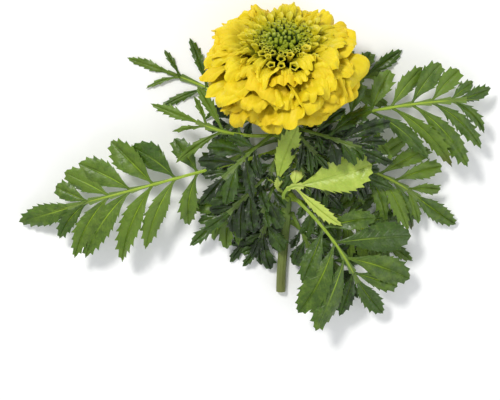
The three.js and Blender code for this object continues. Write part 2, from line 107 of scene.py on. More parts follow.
# A leaf's foot is at a place along the stem and at an angle to its side, round the stem. heading and rise are
# the level and the climbing direction of its midrib there, and turn and fall their change to its tip, all in
# degrees. length is the midrib's with the end leaflet, leaflet is the length of the longest of its pairs, and
# end that of the end leaflet. width is a leaflet's over its length, and uneven is the share by which those on
# the right are longer. left_long, top_pale, top_upright, over_front and over_right differ from the CAD.
Leaf = namedtuple("Leaf", "name at side heading turn rise fall length pairs leaflet end width uneven")
LEAVES = [
    Leaf("left_long", 86, 170, 192.5, 6, 15, -34, 160, 6, 37, 44, 0.32, -0.14),
    Leaf("right_long", 96, 14, 24, -30, 20, -46, 122, 6, 34, 26, 0.32, 0.22),
    Leaf("right_low", 76, 6, 14, -78, 16, -40, 110, 5, 31, 38, 0.30, 0),
    Leaf("front", 60, 50, -36, -44, 40, -84, 96, 4, 42, 34, 0.34, 0),
    Leaf("top_pale", 57, 84, 172, -450, 84, -200, 70, 1, 36, 44, 0.44, 0.6),
    Leaf("top_upright", 64, 104, 228, -540, 82, -200, 56, 1, 12, 40, 0.32, 0),
    Leaf("back_left", 100, 196, 150, 14, -27, 22, 98, 3, 28, 32, 0.26, 0),
    Leaf("left_mid", 97, 150, 184, -48, 26, -36, 76, 3, 27, 32, 0.26, 0),
    Leaf("back_right", 100, -16, 24, 20, -28, 22, 80, 3, 24, 26, 0.30, 0),
    Leaf("inner_left", 80, 128, 216, 16, 40, -66, 62, 4, 22, 22, 0.27, 0),
    Leaf("inner_right", 88, 40, -6, -38, 24, -46, 66, 4, 22, 24, 0.27, 0),
    Leaf("over_left", 100, 138, 208, 28, 46, -64, 64, 4, 22, 24, 0.27, 0),
    Leaf("over_front", 108, 84, 318, -12, 18, -30, 38, 4, 16, 14, 0.27, 0),
    Leaf("over_right", 103, 50, -6, -22, 44, -60, 66, 4, 22, 24, 0.27, -0.35),
    Leaf("mid_left", 70, 176, 210, 16, 12, -26, 66, 4, 22, 24, 0.27, 0),
    Leaf("mid_right", 56, -6, -18, -22, 0, -14, 82, 5, 24, 26, 0.27, 0),
    Leaf("low_left", 52, 200, 226, 8, -6, -4, 46, 3, 16, 17, 0.30, 0),
    Leaf("low_right", 42, -10, -40, -20, -4, -4, 62, 4, 18, 20, 0.30, 0),
    Leaf("axil_left_1", 107, 192, 190, 20, -16, -4, 44, 3, 17, 16, 0.30, 0),
    Leaf("axil_left_2", 92, 200, 200, 24, -20, 10, 52, 3, 18, 18, 0.30, 0),
    Leaf("axil_left_3", 93, 116, 250, 4, 26, -50, 30, 3, 12, 12, 0.32, 0),
    Leaf("axil_left_4", 74, 142, 240, 14, 34, -54, 40, 3, 17, 16, 0.30, 0),
    Leaf("axil_left_5", 64, 194, 200, 16, -10, 4, 52, 3, 18, 18, 0.30, 0),
    Leaf("axil_left_6", 60, 164, 244, 8, 14, -30, 42, 3, 17, 16, 0.30, 0),
    Leaf("axil_left_7", 44, 176, 232, 8, 10, -20, 36, 3, 16, 15, 0.30, 0),
    Leaf("axil_right_1", 108, -26, -44, -20, -14, -4, 44, 3, 17, 16, 0.30, 0),
    Leaf("axil_right_2", 94, -20, -10, -20, -20, 12, 54, 3, 18, 18, 0.30, 0),
    Leaf("axil_right_3", 95, 66, -62, -10, 22, -40, 36, 3, 16, 14, 0.30, 0),
    Leaf("axil_right_4", 82, 20, -40, -14, 16, -34, 44, 3, 17, 16, 0.30, 0),
    Leaf("axil_right_5", 68, 24, -50, -10, 10, -24, 44, 3, 17, 16, 0.30, 0),
    Leaf("axil_right_6", 68, -16, 6, -24, -8, 2, 52, 3, 18, 18, 0.30, 0),
    Leaf("axil_right_7", 48, 30, -60, -10, 20, -40, 38, 3, 16, 15, 0.30, 0),
]
PETIOLE_RADIUS = 1.15
FIRST_LEAFLET = 0.3
Leaflet = namedtuple("Leaflet", "share side angle length width lift droop curl")

# ---------------------------------------------------------------- what the fine surfaces add to them

ROW_SEED = 1100
FIRST_FINE_ROW = 3
LAST_ROW_FLORETS = 22  # the innermost ray florets are more and narrower than the CAD row's
LAST_ROW_NARROWING = 0.62
PETAL_THICKNESS = 0.42
QUILL = {5: 0.3, 6: 0.8, 7: 1.3}  # radians from the middle to each side of a gutter, by row
FLAT_QUILL = 0.02
LEAN = {5: (-3.0, 10.0), 6: (-7.0, 8.0), 7: (-5.0, 6.0)}  # middle and spread of degrees towards the axis
OUTER_LEAN = (0.0, 12.0)
GREENNESS = {5: 0.1, 6: 0.4, 7: 0.9}
FOOT_BAND_RADIUS = 0.42

# Lowest and highest of what is drawn for each ray floret: shares first, then heights of its lift.
REACH = (0.86, 1.14)
WIDTH = (0.95, 1.6)
ROUND_END = (0.45, 0.68)
QUILL_SPREAD = (0.5, 1.5)
LOBES = (1.3, 2.6)
LOBE_DEPTH = (0.08, 0.3)
PILLOWS = (0.5, 1.8)
FLUTTER = (0.8, 2.8)
SLOW_WAVE = (1.0, 3.4)
SLOW_BEAT = (1.5, 3.2)
TURNED_UNDER = (1.5, 4.0)
HANGING_SIDES = (-0.5, 2.0)
BENT_BACK = (-0.5, 4.5)
COARSE_CRUMPLES = 2.6
FINE_CRUMPLES = 0.7

ROLLED_SEED = 11
RolledTurn = namedtuple("RolledTurn", "florets outwards upwards lean")
ROLLED_TURNS = (RolledTurn(19, 2.6, 0.6, -13.0), RolledTurn(21, 0.4, 0.0, -4.0))
ROLLED_REACH = (0.93, 1.07)
ROLLED_NECK = 0.95
ROLLED_MOUTH = (1.7, 2.7)
ROLLED_LIP = (0.4, 3.0)
ROLLED_YELLOW = (0.75, 1.0)

DISC_SEED = 7
DISC_FLORETS = 132
DISC_SPREAD = 3.8  # how far the middles of the outermost disc florets stand beyond the CAD disc's rim
DISC_TOP = 43.6
BUD_SIZE = 1.12
OPEN_SIZE = 0.85
OPEN_MOUTH = 1.2
DISC_SHADE_FILL = np.array(  # radius and height of the outline of the near-black fill between the disc florets: painted shade in the gaps
    [(0.3, 31.6), (1.5, 31.7), (5.2, 33.6), (9.4, 36.6), (9.0, 37.2), (5.2, 35.2), (1.2, 34.4), (0.2, 34.4)]
)
GOLDEN_ANGLE = math.radians(137.508)

LEAF_SEED = 500
LEAFLET_TURN = 70  # degrees from the midrib of the first pair of leaflets
LEAFLET_FORWARD = 26  # less of that turn at the last pair
LEAFLET_LIFT = 6
LEAFLET_DROOP = 22
LEAFLET_CURL = 14
THREE_LEAFLETS = (21, 2)  # more turn and the curl of a pair that stands alone
LEAFLET_THICKNESS = 0.36
HANG_TURN = 24  # of a leaflet that points straight to the cut end: degrees nearer to the leaf's midrib
HANG_CURL = 48  # degrees that it curls back
HANG_STRETCH = 0.14  # share by which it is longer
TEETH_PER_LENGTH = 0.18
TOOTH_SIZES = (0.55, 1.35)
FOLD = (14, 8)  # degrees: middle and spread
EDGE_BEND = (0.1, 0.5)
EDGE_WAVE = (0.5, 1.1)
EDGE_WAVES = (1.2, 2.4)
TOOTHED = (0.27, 0.95)  # stretch of a leaflet's margin that has teeth
OUTER_SHADES = (0.5, 1.0)  # range of a leaflet's own shade, darkest to palest
# shades of the leaves in the middle: low, so that painted shade darkens them
INNER_PAINTED_SHADES = (0.0, 0.42)
SHADED_INNER_LEAVES = ("axil", "over", "inner", "low")  # how the names of the leaves in the middle begin, which painted shade darkens
LEAF_SHADES = {
    "front": (0.2, 0.8),
    "left_mid": (0.85, 1.2),
    "mid_left": (0.4, 0.9),
    "top_upright": (0.2, 0.6),
}
PALE_LEAVES = "top"
BROWNED_SHARE = 0.03  # of leaflets that have a brown tip
BREADTH = {  # leaflets' breadth over their width in the table
    "left_long": 1.32,
    "right_long": 1.0,
    "right_low": 1.05,
    "front": 1.12,
    "over_front": 1.0,
    "back_left": 0.66,
    "left_mid": 0.7,
    "top_pale": 0.66,
    "top_upright": 0.6,
}
INNER_BREADTH = 1.5

# ---------------------------------------------------------------- colours and patterns

PETAL_LEMON = (0.79, 0.625, 0.010, 1)
PETAL_LEMON_DEEP = (0.735, 0.515, 0.008, 1)
# darker gold lower on a petal: painted shade where the petals overlap
PETAL_SHADE_GOLD = (0.70, 0.50, 0.009, 1)
PETAL_LIME = (0.65, 0.54, 0.012, 1)
# dark olive claw: the claw's own green, darkened as painted shade in the recess round the disc
PETAL_CLAW_AND_SHADE = (0.22, 0.27, 0.012, 1)
PETAL_BENEATH = (0.82, 0.66, 0.02, 1)
PETAL_BROWN = (0.30, 0.15, 0.02, 1)
PETAL_VEINS = 11

TUBE_GREEN = (0.11, 0.18, 0.010, 1)
TUBE_GREEN_DEEP = (0.055, 0.105, 0.006, 1)
TUBE_GOLD = (0.68, 0.58, 0.012, 1)
TUBE_GOLD_DEEP = (0.56, 0.48, 0.010, 1)
# near black: painted shade at the foot of the florets and in the gaps between them
TUBE_FOOT_SHADE = (0.008, 0.020, 0.002, 1)
RIM_GREEN = (0.31, 0.375, 0.010, 1)
RIM_GOLD = (0.64, 0.54, 0.012, 1)
# painted shade inside an open floret's mouth
THROAT_SHADE = (0.02, 0.03, 0.003, 1)

LeafColours = namedtuple("LeafColours", "deep dark light beneath rib")
LEAF_GREEN = LeafColours(
    # deep: darkest green, where the mottling dips at random and as painted shade on the leaves in the middle
    deep=(0.010, 0.022, 0.003, 1),
    dark=(0.042, 0.088, 0.006, 1),
    light=(0.114, 0.188, 0.013, 1),
    beneath=(0.17, 0.25, 0.05, 1),
    rib=(0.36, 0.52, 0.04, 1),
)
LEAF_PALE = LeafColours(
    deep=(0.26, 0.38, 0.04, 1),
    dark=(0.34, 0.46, 0.055, 1),
    light=(0.49, 0.60, 0.10, 1),
    beneath=(0.50, 0.58, 0.14, 1),
    rib=(0.30, 0.44, 0.05, 1),
)
LEAF_BROWN = (0.10, 0.045, 0.02, 1)
LEAF_SIDE_VEINS = 9.0  # along a leaflet
LEAF_VEIN_SLANT = 3.2

STEM_LIGHT = (0.24, 0.36, 0.06, 1)
STEM_DARK = (0.13, 0.22, 0.03, 1)
STEM_FLUSH = (0.13, 0.07, 0.035, 1)
PITH = (0.52, 0.56, 0.26, 1)
STEM_FIBRES = 24

# ---------------------------------------------------------------- curves of the plant


def unit(v):
    """Each vector over its own length."""
    return v / np.linalg.norm(v, axis=-1, keepdims=True)


def smoothstep(x, low, high):
    """0 below low and 1 above high, with 3t^2 - 2t^3 between them."""
    t = np.clip((x - low) / (high - low), 0.0, 1.0)
    return t * t * (3 - 2 * t)


def stem_axis(y):
    """Point, tangent, right and up of the stem's axis at y. The height is the cut end's plus the rise times
    share^bend, and the sideways place is the sway times sin^2(pi share)."""
    share = np.asarray(y, float) / STEM_LENGTH
    point = np.stack(
        [
            STEM_SWAY * np.sin(np.pi * share) ** 2,
            share * STEM_LENGTH,
            STEM_CUT_HEIGHT + STEM_RISE * share**STEM_BEND,
        ],
        -1,
    )
    slope = [
        STEM_SWAY * np.pi * np.sin(2 * np.pi * share) / STEM_LENGTH,
        np.ones_like(share),
        STEM_RISE * STEM_BEND * share ** (STEM_BEND - 1) / STEM_LENGTH,
    ]
    tangent = unit(np.stack(slope, -1))
    right = unit(np.cross(tangent, UP))
    return point, tangent, right, np.cross(right, tangent)


def stem_radius(y):
    """Even, then swelling to the neck's radius over the last quarter."""
    swell = smoothstep(np.asarray(y, float) / STEM_LENGTH, 0.72, 1.0)
    return STEM_RADIUS + (NECK_RADIUS - STEM_RADIUS) * swell


def around_stem(y, angle, radius):
    """Points at an angle round the stem's axis at y, 0 to the right and a quarter turn on top."""
    point, _, right, up = stem_axis(y)
    return point + radius[..., None] * (np.cos(angle)[..., None] * right + np.sin(angle)[..., None] * up)


def cad_stem_low():
    """Lowest corner of the CAD stem in the plant's frame: of its rings of points at even steps."""
    y, angle = np.meshgrid(
        np.linspace(0, STEM_LENGTH, CAD_STEM_STEPS + 1),
        np.arange(CAD_STEM_SIDES) * 2 * np.pi / CAD_STEM_SIDES,
        indexing="ij",
    )
    return around_stem(y, angle, stem_radius(y)).reshape(-1, 3).min(0)


MODEL_SHIFT = np.array(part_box("stem")[0]) / MM - cad_stem_low()  # from the plant's frame to the model's
FLOOR = -MODEL_SHIFT[2]  # height, in the plant's frame, of the surface that the flower lies on

HEAD_BASE = stem_axis(STEM_LENGTH)[0]
HEAD_AXIS = np.array([0.0, math.cos(HEAD_TILT), math.sin(HEAD_TILT)])
HEAD_RIGHT = np.array([1.0, 0.0, 0.0])
HEAD_DOWN = np.cross(HEAD_AXIS, HEAD_RIGHT)


def above_floor(z, softness=0.5):
    """A height that is never under the surface. With l the height over FLOOR_GAP above the surface, l
    becomes (l + sqrt(l^2 + softness^2)) / 2."""
    lift = z - FLOOR - FLOOR_GAP
    return FLOOR + FLOOR_GAP + (lift + np.hypot(lift, softness)) / 2


def pressed(z):
    """Height of a petal that the head's weight presses on the surface: z + 0.85 (sqrt(z^2 + 16) - z) / 2,
    kept above the surface."""
    return above_floor(z + 0.85 * (np.hypot(z, 4.0) - z) / 2)


def head_point(radius, angle, height):
    """A point of the head from its distance to the axis, its angle round it and its height up it."""
    p = (
        HEAD_BASE
        + np.asarray(height)[..., None] * HEAD_AXIS
        + (radius * np.cos(angle))[..., None] * HEAD_RIGHT
        + (radius * np.sin(angle))[..., None] * HEAD_DOWN
    )
    p[..., 2] = pressed(p[..., 2])
    return p


def cone_point(share, clearance):
    """The receptacle's cone at a share of the way up, as radius and height, moved out by a clearance."""
    slope = math.atan2(CONE_BOTTOM_RADIUS - CONE_TOP_RADIUS, CONE_TOP - CONE_BOTTOM)
    return (
        CONE_BOTTOM_RADIUS + (CONE_TOP_RADIUS - CONE_BOTTOM_RADIUS) * share + clearance * math.cos(slope),
        CONE_BOTTOM + (CONE_TOP - CONE_BOTTOM) * share + clearance * math.sin(slope),
    )


def floret_line(row, share, pitch):
    """Middle line of a row's florets: a cubic Bezier curve from the receptacle to the tip, turned about its
    foot by pitch towards the head's axis. Returns radius, height, and the direction along it as two more
    arrays."""
    ring = ROWS[row]
    foot = np.array(cone_point((row + 0.5) / len(ROWS), FOOT_CLEARANCE))
    tip = np.array([ring.tip_radius, ring.tip_height])
    reach = np.hypot(*(tip - foot))
    leaves, ends = math.radians(ring.foot_way), math.radians(ring.tip_way)
    out = np.array([math.sin(leaves), math.cos(leaves)])
    end = np.array([math.sin(ends), math.cos(ends)])
    c = [foot, foot + FOOT_HANDLE * reach * out, tip - TIP_HANDLE * reach * end, tip]
    t = np.asarray(share)[..., None]
    p = (1 - t) ** 3 * c[0] + 3 * (1 - t) ** 2 * t * c[1] + 3 * (1 - t) * t**2 * c[2] + t**3 * c[3]
    d = (1 - t) ** 2 * (c[1] - c[0]) + 2 * (1 - t) * t * (c[2] - c[1]) + t**2 * (c[3] - c[2])
    turn = np.array([[math.cos(pitch), math.sin(pitch)], [-math.sin(pitch), math.cos(pitch)]])
    p, d = (p - foot) @ turn + foot, unit(d) @ turn
    return p[..., 0], p[..., 1], d[..., 0], d[..., 1]


# ---------------------------------------------------------------- meshes from grids


def part(co, faces, uv, tone):
    """One closed surface: points, faces, a place on the pattern for each point, and four tones for each."""
    tone = np.broadcast_to(np.asarray(tone, float), (len(co), 4)).copy()
    return {"co": co, "faces": faces, "uv": uv, "tone": tone}


def sheet(mid, thickness, across, along, tone):
    """A closed thin sheet: the middle surface, a grid with rows along and columns across, moved half the
    thickness along its normal to each side, and a rim that joins the two. Tone 1 is 1 above, 0 beneath."""
    nv, nu = mid.shape[:2]
    normal = unit(np.cross(np.gradient(mid, axis=1), np.gradient(mid, axis=0)))
    half = np.broadcast_to(thickness / 2, (nv, nu))[..., None] * normal
    index = np.arange(nv * nu).reshape(nv, nu)
    top = np.stack([index[:-1, :-1], index[:-1, 1:], index[1:, 1:], index[1:, :-1]], -1).reshape(-1, 4)
    loop = np.concatenate([index[0, :-1], index[:-1, -1], index[-1, :0:-1], index[:0:-1, 0]])
    after = np.roll(loop, -1)
    rim = np.stack([loop + nv * nu, after + nv * nu, after, loop], -1)
    uv = np.stack([(np.broadcast_to(across, (nv, nu)) + 1) / 2, np.broadcast_to(along, (nv, nu))], -1)
    tones = np.tile(np.asarray(tone, float), (2 * nv * nu, 1))
    tones[: nv * nu, 1] = 1.0
    tones[nv * nu :, 1] = 0.0
    return part(
        np.concatenate([(mid + half).reshape(-1, 3), (mid - half).reshape(-1, 3)]),
        np.concatenate([top, top[:, ::-1] + nv * nu, rim]).tolist(),
        np.tile(uv.reshape(-1, 2), (2, 1)),
        tones,
    )


def tube(rings, along, tone):
    """A closed tube through rings of points. Each ring turns counter-clockwise, seen from the end that the
    rings run to, and each end is shut by a fan about the ring's centre. The pattern runs there and back
    round it, so it has no seam."""
    n, k = rings.shape[:2]
    index = np.arange(n * k).reshape(n, k)
    nxt = np.roll(index, -1, axis=1)
    quads = np.stack([index[:-1], nxt[:-1], nxt[1:], index[1:]], -1).reshape(-1, 4)
    first = np.stack([nxt[0], index[0], np.full(k, n * k)], -1)
    last = np.stack([index[-1], nxt[-1], np.full(k, n * k + 1)], -1)
    round_it = 1 - np.abs(2 * np.arange(k) / k - 1)
    uv = np.stack([np.tile(round_it, n), np.repeat(along, k)], -1)
    uv = np.concatenate([uv, [[0.5, along[0]], [0.5, along[-1]]]])
    co = np.concatenate([rings.reshape(-1, 3), [rings[0].mean(0), rings[-1].mean(0)]])
    return part(co, quads.tolist() + first.tolist() + last.tolist(), uv, tone)


def make_piece(name, parts, node, material, sharp=60):
    """One object from parts in the plant's frame: joined, moved into the model's and scaled to metres.
    It rides on the root body and stands for its CAD node."""
    counts = np.cumsum([0] + [len(p["co"]) for p in parts])
    faces = [[i + start for i in f] for p, start in zip(parts, counts) for f in p["faces"]]
    co = (np.concatenate([p["co"] for p in parts]) + MODEL_SHIFT) * MM
    mesh = bpy.data.meshes.new(name)
    mesh.from_pydata(co.tolist(), [], faces)
    corners = np.empty(len(mesh.loops), int)
    mesh.loops.foreach_get("vertex_index", corners)
    uv = np.concatenate([p["uv"] for p in parts])[corners]
    mesh.uv_layers.new(name="blade").data.foreach_set("uv", uv.ravel())
    tone = np.concatenate([p["tone"] for p in parts])
    mesh.attributes.new("tone", "FLOAT_COLOR", "POINT").data.foreach_set("color", tone.ravel())
    mesh.shade_smooth()
    mesh.set_sharp_from_angle(angle=math.radians(sharp))
    mesh.materials.append(material)
    piece = bpy.data.objects.new(name, mesh)
    bpy.context.collection.objects.link(piece)
    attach(piece, "root")
    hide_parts(node)


# ---------------------------------------------------------------- materials


class Shader:
    """A node tree under construction, with short ways to add what these materials need."""

    def __init__(self, tree):
        self.tree = tree

    def node(self, kind, **settings):
        """A new node of a kind, with its settings."""
        made = self.tree.nodes.new(kind)
        for key, value in settings.items():
            setattr(made, key, value)
        return made

    def link(self, source, target):
        """Joins an output to an input, or sets the input to a plain value."""
        if isinstance(source, bpy.types.NodeSocket):
            self.tree.links.new(source, target)
        else:
            target.default_value = source

    def math(self, operation, *values, clamp=False):
        """The result of a Math node on the values."""
        made = self.node("ShaderNodeMath", operation=operation, use_clamp=clamp)
        for value, target in zip(values, made.inputs):
            self.link(value, target)
        return made.outputs[0]

    def ramp(self, value, low, high, start=0.0, end=1.0):
        """A smoothstep of the value, from start at low to end at high. low may be the higher one."""
        made = self.node("ShaderNodeMapRange", interpolation_type="SMOOTHSTEP")
        for source, target in zip((value, low, high, start, end), made.inputs):
            self.link(source, target)
        return made.outputs[0]

    def mix(self, factor, a, b):
        """Colour a at factor 0 and b at 1. The node's sockets 6 and 7 are its two colours."""
        made = self.node("ShaderNodeMix", data_type="RGBA")
        self.link(factor, made.inputs["Factor"])
        self.link(a, made.inputs[6])
        self.link(b, made.inputs[7])
        return made.outputs[2]

    def noise(self, vector, scale, detail=2.0):
        """Cloudy noise from 0 to 1, with scale patches to a unit of the vector."""
        made = self.node("ShaderNodeTexNoise")
        self.link(vector, made.inputs["Vector"])
        made.inputs["Scale"].default_value = scale
        made.inputs["Detail"].default_value = detail
        return made.outputs["Fac"]

    def bump(self, height, strength, distance):
        """The normal of a surface raised by height times distance."""
        made = self.node("ShaderNodeBump")
        made.inputs["Strength"].default_value = strength
        made.inputs["Distance"].default_value = distance
        self.link(height, made.inputs["Height"])
        return made.outputs["Normal"]

    def object_place(self):
        """Place on the object, in metres."""
        return self.node("ShaderNodeTexCoord").outputs["Object"]

    def blade_place(self):
        """Across and along the blade, each from 0 to 1."""
        made = self.node("ShaderNodeUVMap", uv_map="blade")
        split = self.node("ShaderNodeSeparateXYZ")
        self.link(made.outputs["UV"], split.inputs[0])
        return split.outputs[0], split.outputs[1]

    def tones(self):
        """The four tones of a point. Their meanings are in each material's own words."""
        made = self.node("ShaderNodeAttribute", attribute_name="tone")
        split = self.node("ShaderNodeSeparateColor")
        self.link(made.outputs["Color"], split.inputs[0])
        return split.outputs[0], split.outputs[1], split.outputs[2], made.outputs["Alpha"]


def new_material(name, **values):
    """A material whose Principled shader has the given plain values."""
    material = bpy.data.materials.new(name)
    material.use_nodes = True
    shader = Shader(material.node_tree)
    principled = material.node_tree.nodes["Principled BSDF"]
    for key, value in values.items():
        principled.inputs[key.replace("_", " ")].default_value = value
    return material, shader, principled.inputs


def group(name, inputs, outputs):
    """An empty shader node group with named sockets of given kinds. Returns it with the sockets to read from
    and to write to."""
    tree = bpy.data.node_groups.new(name, "ShaderNodeTree")
    for label, kind in inputs:
        tree.interface.new_socket(label, in_out="INPUT", socket_type=kind)
    for label, kind in outputs:
        tree.interface.new_socket(label, in_out="OUTPUT", socket_type=kind)
    shader = Shader(tree)
    return shader, shader.node("NodeGroupInput").outputs, shader.node("NodeGroupOutput").inputs


def mottle_group():
    """Shade of living tissue: 0.7 of slow noise and 0.3 of noise five times as fine, both over the object,
    less 0.5 and times the amount."""
    shader, given, result = group(
        "mottle",
        [("Scale", "NodeSocketFloat"), ("Amount", "NodeSocketFloat")],
        [("Shade", "NodeSocketFloat")],
    )
    scaled = shader.node("ShaderNodeVectorMath", operation="SCALE")
    shader.link(shader.object_place(), scaled.inputs[0])
    shader.link(given["Scale"], scaled.inputs["Scale"])
    slow = shader.math("MULTIPLY", shader.noise(scaled.outputs[0], scale=1.0, detail=3.0), 0.7)
    fine = shader.math("MULTIPLY", shader.noise(scaled.outputs[0], scale=5.0), 0.3)
    centred = shader.math("SUBTRACT", shader.math("ADD", slow, fine), 0.5)
    shader.link(shader.math("MULTIPLY", centred, given["Amount"]), result["Shade"])
    return shader.tree


def mottle(shader, tree, scale, amount):
    """The mottle group placed in a material. Returns its shade."""
    made = shader.node("ShaderNodeGroup", node_tree=tree)
    made.inputs["Scale"].default_value = scale
    made.inputs["Amount"].default_value = amount
    return made.outputs["Shade"]


def petal_material(mottling):
    """Lemon yellow at the margin, turning golden lower down as painted shade where the petals overlap, and
    yellow-green in the claw, darkened by painted shade at the foot, with a few browned tips. Tone 0 is the
    floret's own shade and tone 2 how green its row is. The bump is a fine crinkle with lengthwise veins,
    which are sine waves across the petal."""
    material, shader, bsdf = new_material(
        "marigold_petal",
        Specular_IOR_Level=0.3,
        Subsurface_Weight=0.15,
        Subsurface_Scale=0.0012,
        Subsurface_Radius=(1.0, 0.62, 0.12),
    )
    across, along = shader.blade_place()
    own, upper, green, _ = shader.tones()
    mottled = mottle(shader, mottling, scale=160.0, amount=0.9)
    shade = shader.math("ADD", mottled, shader.math("MULTIPLY", own, 0.6))
    tip = shader.mix(shader.ramp(shade, -0.2, 0.8), PETAL_LEMON, PETAL_LEMON_DEEP)
    # painted shade: darker gold towards the covered foot of the petal, lemon at the tip
    body = shader.mix(shader.ramp(along, 0.3, 0.9), PETAL_SHADE_GOLD, tip)
    limey = shader.mix(shader.math("MULTIPLY", green, 0.8), body, PETAL_LIME)
    # the claw: its own green plus painted shade at the petal's foot, most of it in the inner rows
    low_down = shader.ramp(along, 0.98, 0.45)
    claw = shader.math("MULTIPLY", low_down, shader.ramp(green, 0.0, 1.0, 0.3, 1.0))
    tinted = shader.mix(claw, limey, PETAL_CLAW_AND_SHADE)
    beneath = shader.math("MULTIPLY", shader.math("SUBTRACT", 1.0, upper), 0.4)
    sided = shader.mix(beneath, tinted, PETAL_BENEATH)
    blotches = shader.ramp(shader.noise(shader.object_place(), scale=42.0), 0.66, 0.72)
    browned = shader.math("MULTIPLY", blotches, shader.ramp(along, 0.95, 0.99))
    shader.link(shader.mix(browned, sided, PETAL_BROWN), bsdf["Base Color"])
    shader.link(shader.ramp(shade, -0.3, 0.6, 0.42, 0.62), bsdf["Roughness"])
    veins = shader.math("SINE", shader.math("MULTIPLY", across, 2 * math.pi * PETAL_VEINS))
    crinkle = shader.noise(shader.object_place(), scale=330.0, detail=3.0)
    height = shader.math("ADD", shader.math("MULTIPLY", veins, 0.15), crinkle)
    shader.link(shader.bump(height, strength=0.4, distance=0.0009), bsdf["Normal"])
    return material


def floret_tube_material(mottling):
    """Near black at the foot as painted shade between the florets, green up the wall and yellower at the rim,
    with a throat darkened by painted shade. Tone 0 is the floret's own shade, tone 1 marks the wall outside,
    and tone 2 is how yellow the floret is."""
    material, shader, bsdf = new_material(
        "disc_floret_tube",
        Subsurface_Weight=0.06,
        Subsurface_Scale=0.0015,
        Subsurface_Radius=(0.7, 1.0, 0.2),
    )
    _, along = shader.blade_place()
    own, outside, yellow, _ = shader.tones()
    mottled = mottle(shader, mottling, scale=260.0, amount=0.8)
    shade = shader.math("ADD", mottled, shader.math("MULTIPLY", own, 0.5))
    green = shader.mix(shader.ramp(shade, -0.2, 0.6), TUBE_GREEN, TUBE_GREEN_DEEP)
    gold = shader.mix(shader.ramp(shade, -0.2, 0.6), TUBE_GOLD, TUBE_GOLD_DEEP)
    ripeness = shader.math("ADD", yellow, shader.ramp(along, 0.6, 1.0, -0.6, 0.05), clamp=True)
    ripened = shader.mix(ripeness, green, gold)
    # painted shade at the foot of the floret
    shaded_foot = shader.mix(shader.ramp(along, 0.96, 0.62), ripened, TUBE_FOOT_SHADE)
    rim = shader.mix(yellow, RIM_GREEN, RIM_GOLD)
    wall = shader.mix(shader.ramp(along, 0.80, 0.97, 0.0, 0.9), shaded_foot, rim)
    # painted shade down the throat
    throat = shader.mix(shader.ramp(along, 0.99, 0.9), wall, THROAT_SHADE)
    shader.link(shader.mix(outside, throat, wall), bsdf["Base Color"])
    shader.link(shader.ramp(shade, -0.3, 0.6, 0.35, 0.55), bsdf["Roughness"])
    pores = shader.noise(shader.object_place(), scale=900.0)
    shader.link(shader.bump(pores, strength=0.3, distance=0.0002), bsdf["Normal"])
    return material


def leaf_material(name, mottling, colours):
    """Green blade with a pale midrib and side veins that run forwards to the teeth, paler beneath. Tone 0 is
    the leaflet's own shade; in the leaves in the middle it is low, so the blade paints the shade that falls
    on them in deep green and their midribs stay dull. Tone 2 is 1 on the leaf's midrib, and tone 3 browns the
    leaflet's tip. A side vein lies where 9 along - 3.2 |across - 0.5| is half way between whole numbers. The
    bump is puckers and pores less the veins."""
    material, shader, bsdf = new_material(
        name,
        Specular_IOR_Level=0.45,
        Subsurface_Weight=0.12,
        Subsurface_Scale=0.0015,
        Subsurface_Radius=(0.5, 1.0, 0.15),
    )
    across, along = shader.blade_place()
    own, upper, rib, brown = shader.tones()
    from_middle = shader.math("ABSOLUTE", shader.math("SUBTRACT", across, 0.5))
    under_side = shader.math("SUBTRACT", 1.0, upper)

    own_shade = shader.math("MULTIPLY_ADD", own, 1.7, -0.85)
    shade = shader.math("ADD", mottle(shader, mottling, scale=210.0, amount=2.2), own_shade)
    blade = shader.mix(shader.ramp(shade, -0.15, 0.85), colours.dark, colours.light)
    # deep green below: random dips of the mottling, and painted shade on the leaves in the middle
    blade = shader.mix(shader.ramp(shade, -0.85, -0.1), colours.deep, blade)

    forwards = shader.math("MULTIPLY", along, LEAF_SIDE_VEINS)
    course = shader.math("SUBTRACT", forwards, shader.math("MULTIPLY", from_middle, LEAF_VEIN_SLANT))
    nearness = shader.math("ABSOLUTE", shader.math("SUBTRACT", shader.math("FRACT", course), 0.5))
    side_vein = shader.math("MULTIPLY", shader.ramp(nearness, 0.07, 0.0), shader.ramp(from_middle, 0.5, 0.25))
    midvein = shader.ramp(from_middle, 0.055, 0.015)
    vein = shader.math("MAXIMUM", midvein, shader.math("MULTIPLY", side_vein, 0.3))
    fading = shader.ramp(along, 0.75, 0.2, 0.05, 0.9)
    boldness = shader.math("MULTIPLY", fading, shader.ramp(own, 0.2, 0.75, 0.25, 1.0))
    veined = shader.mix(shader.math("MULTIPLY", vein, boldness), blade, colours.rib)

    sided = shader.mix(under_side, veined, shader.mix(0.55, veined, colours.beneath))
    browned = shader.math("MULTIPLY", shader.ramp(along, 0.72, 1.0), brown)
    tipped = shader.mix(browned, sided, LEAF_BROWN)
    # dull midribs on darker leaves, those in the middle among them as part of their painted shade
    rib_shade = shader.mix(shader.ramp(own, 0.4, 1.0), colours.light, colours.rib)
    shader.link(shader.mix(rib, tipped, rib_shade), bsdf["Base Color"])

    gloss = shader.ramp(shade, -0.3, 0.8, 0.30, 0.46)
    roughness = shader.math("ADD", gloss, shader.math("MULTIPLY", under_side, 0.2))
    shader.link(roughness, bsdf["Roughness"])
    pores = shader.noise(shader.object_place(), scale=700.0, detail=3.0)
    puckers = shader.noise(shader.object_place(), scale=210.0, detail=2.0)
    grain = shader.math("MULTIPLY_ADD", puckers, 2.2, shader.math("MULTIPLY", pores, 0.6))
    height = shader.math("SUBTRACT", grain, vein)
    shader.link(shader.bump(height, strength=0.6, distance=0.0006), bsdf["Normal"])
    return material


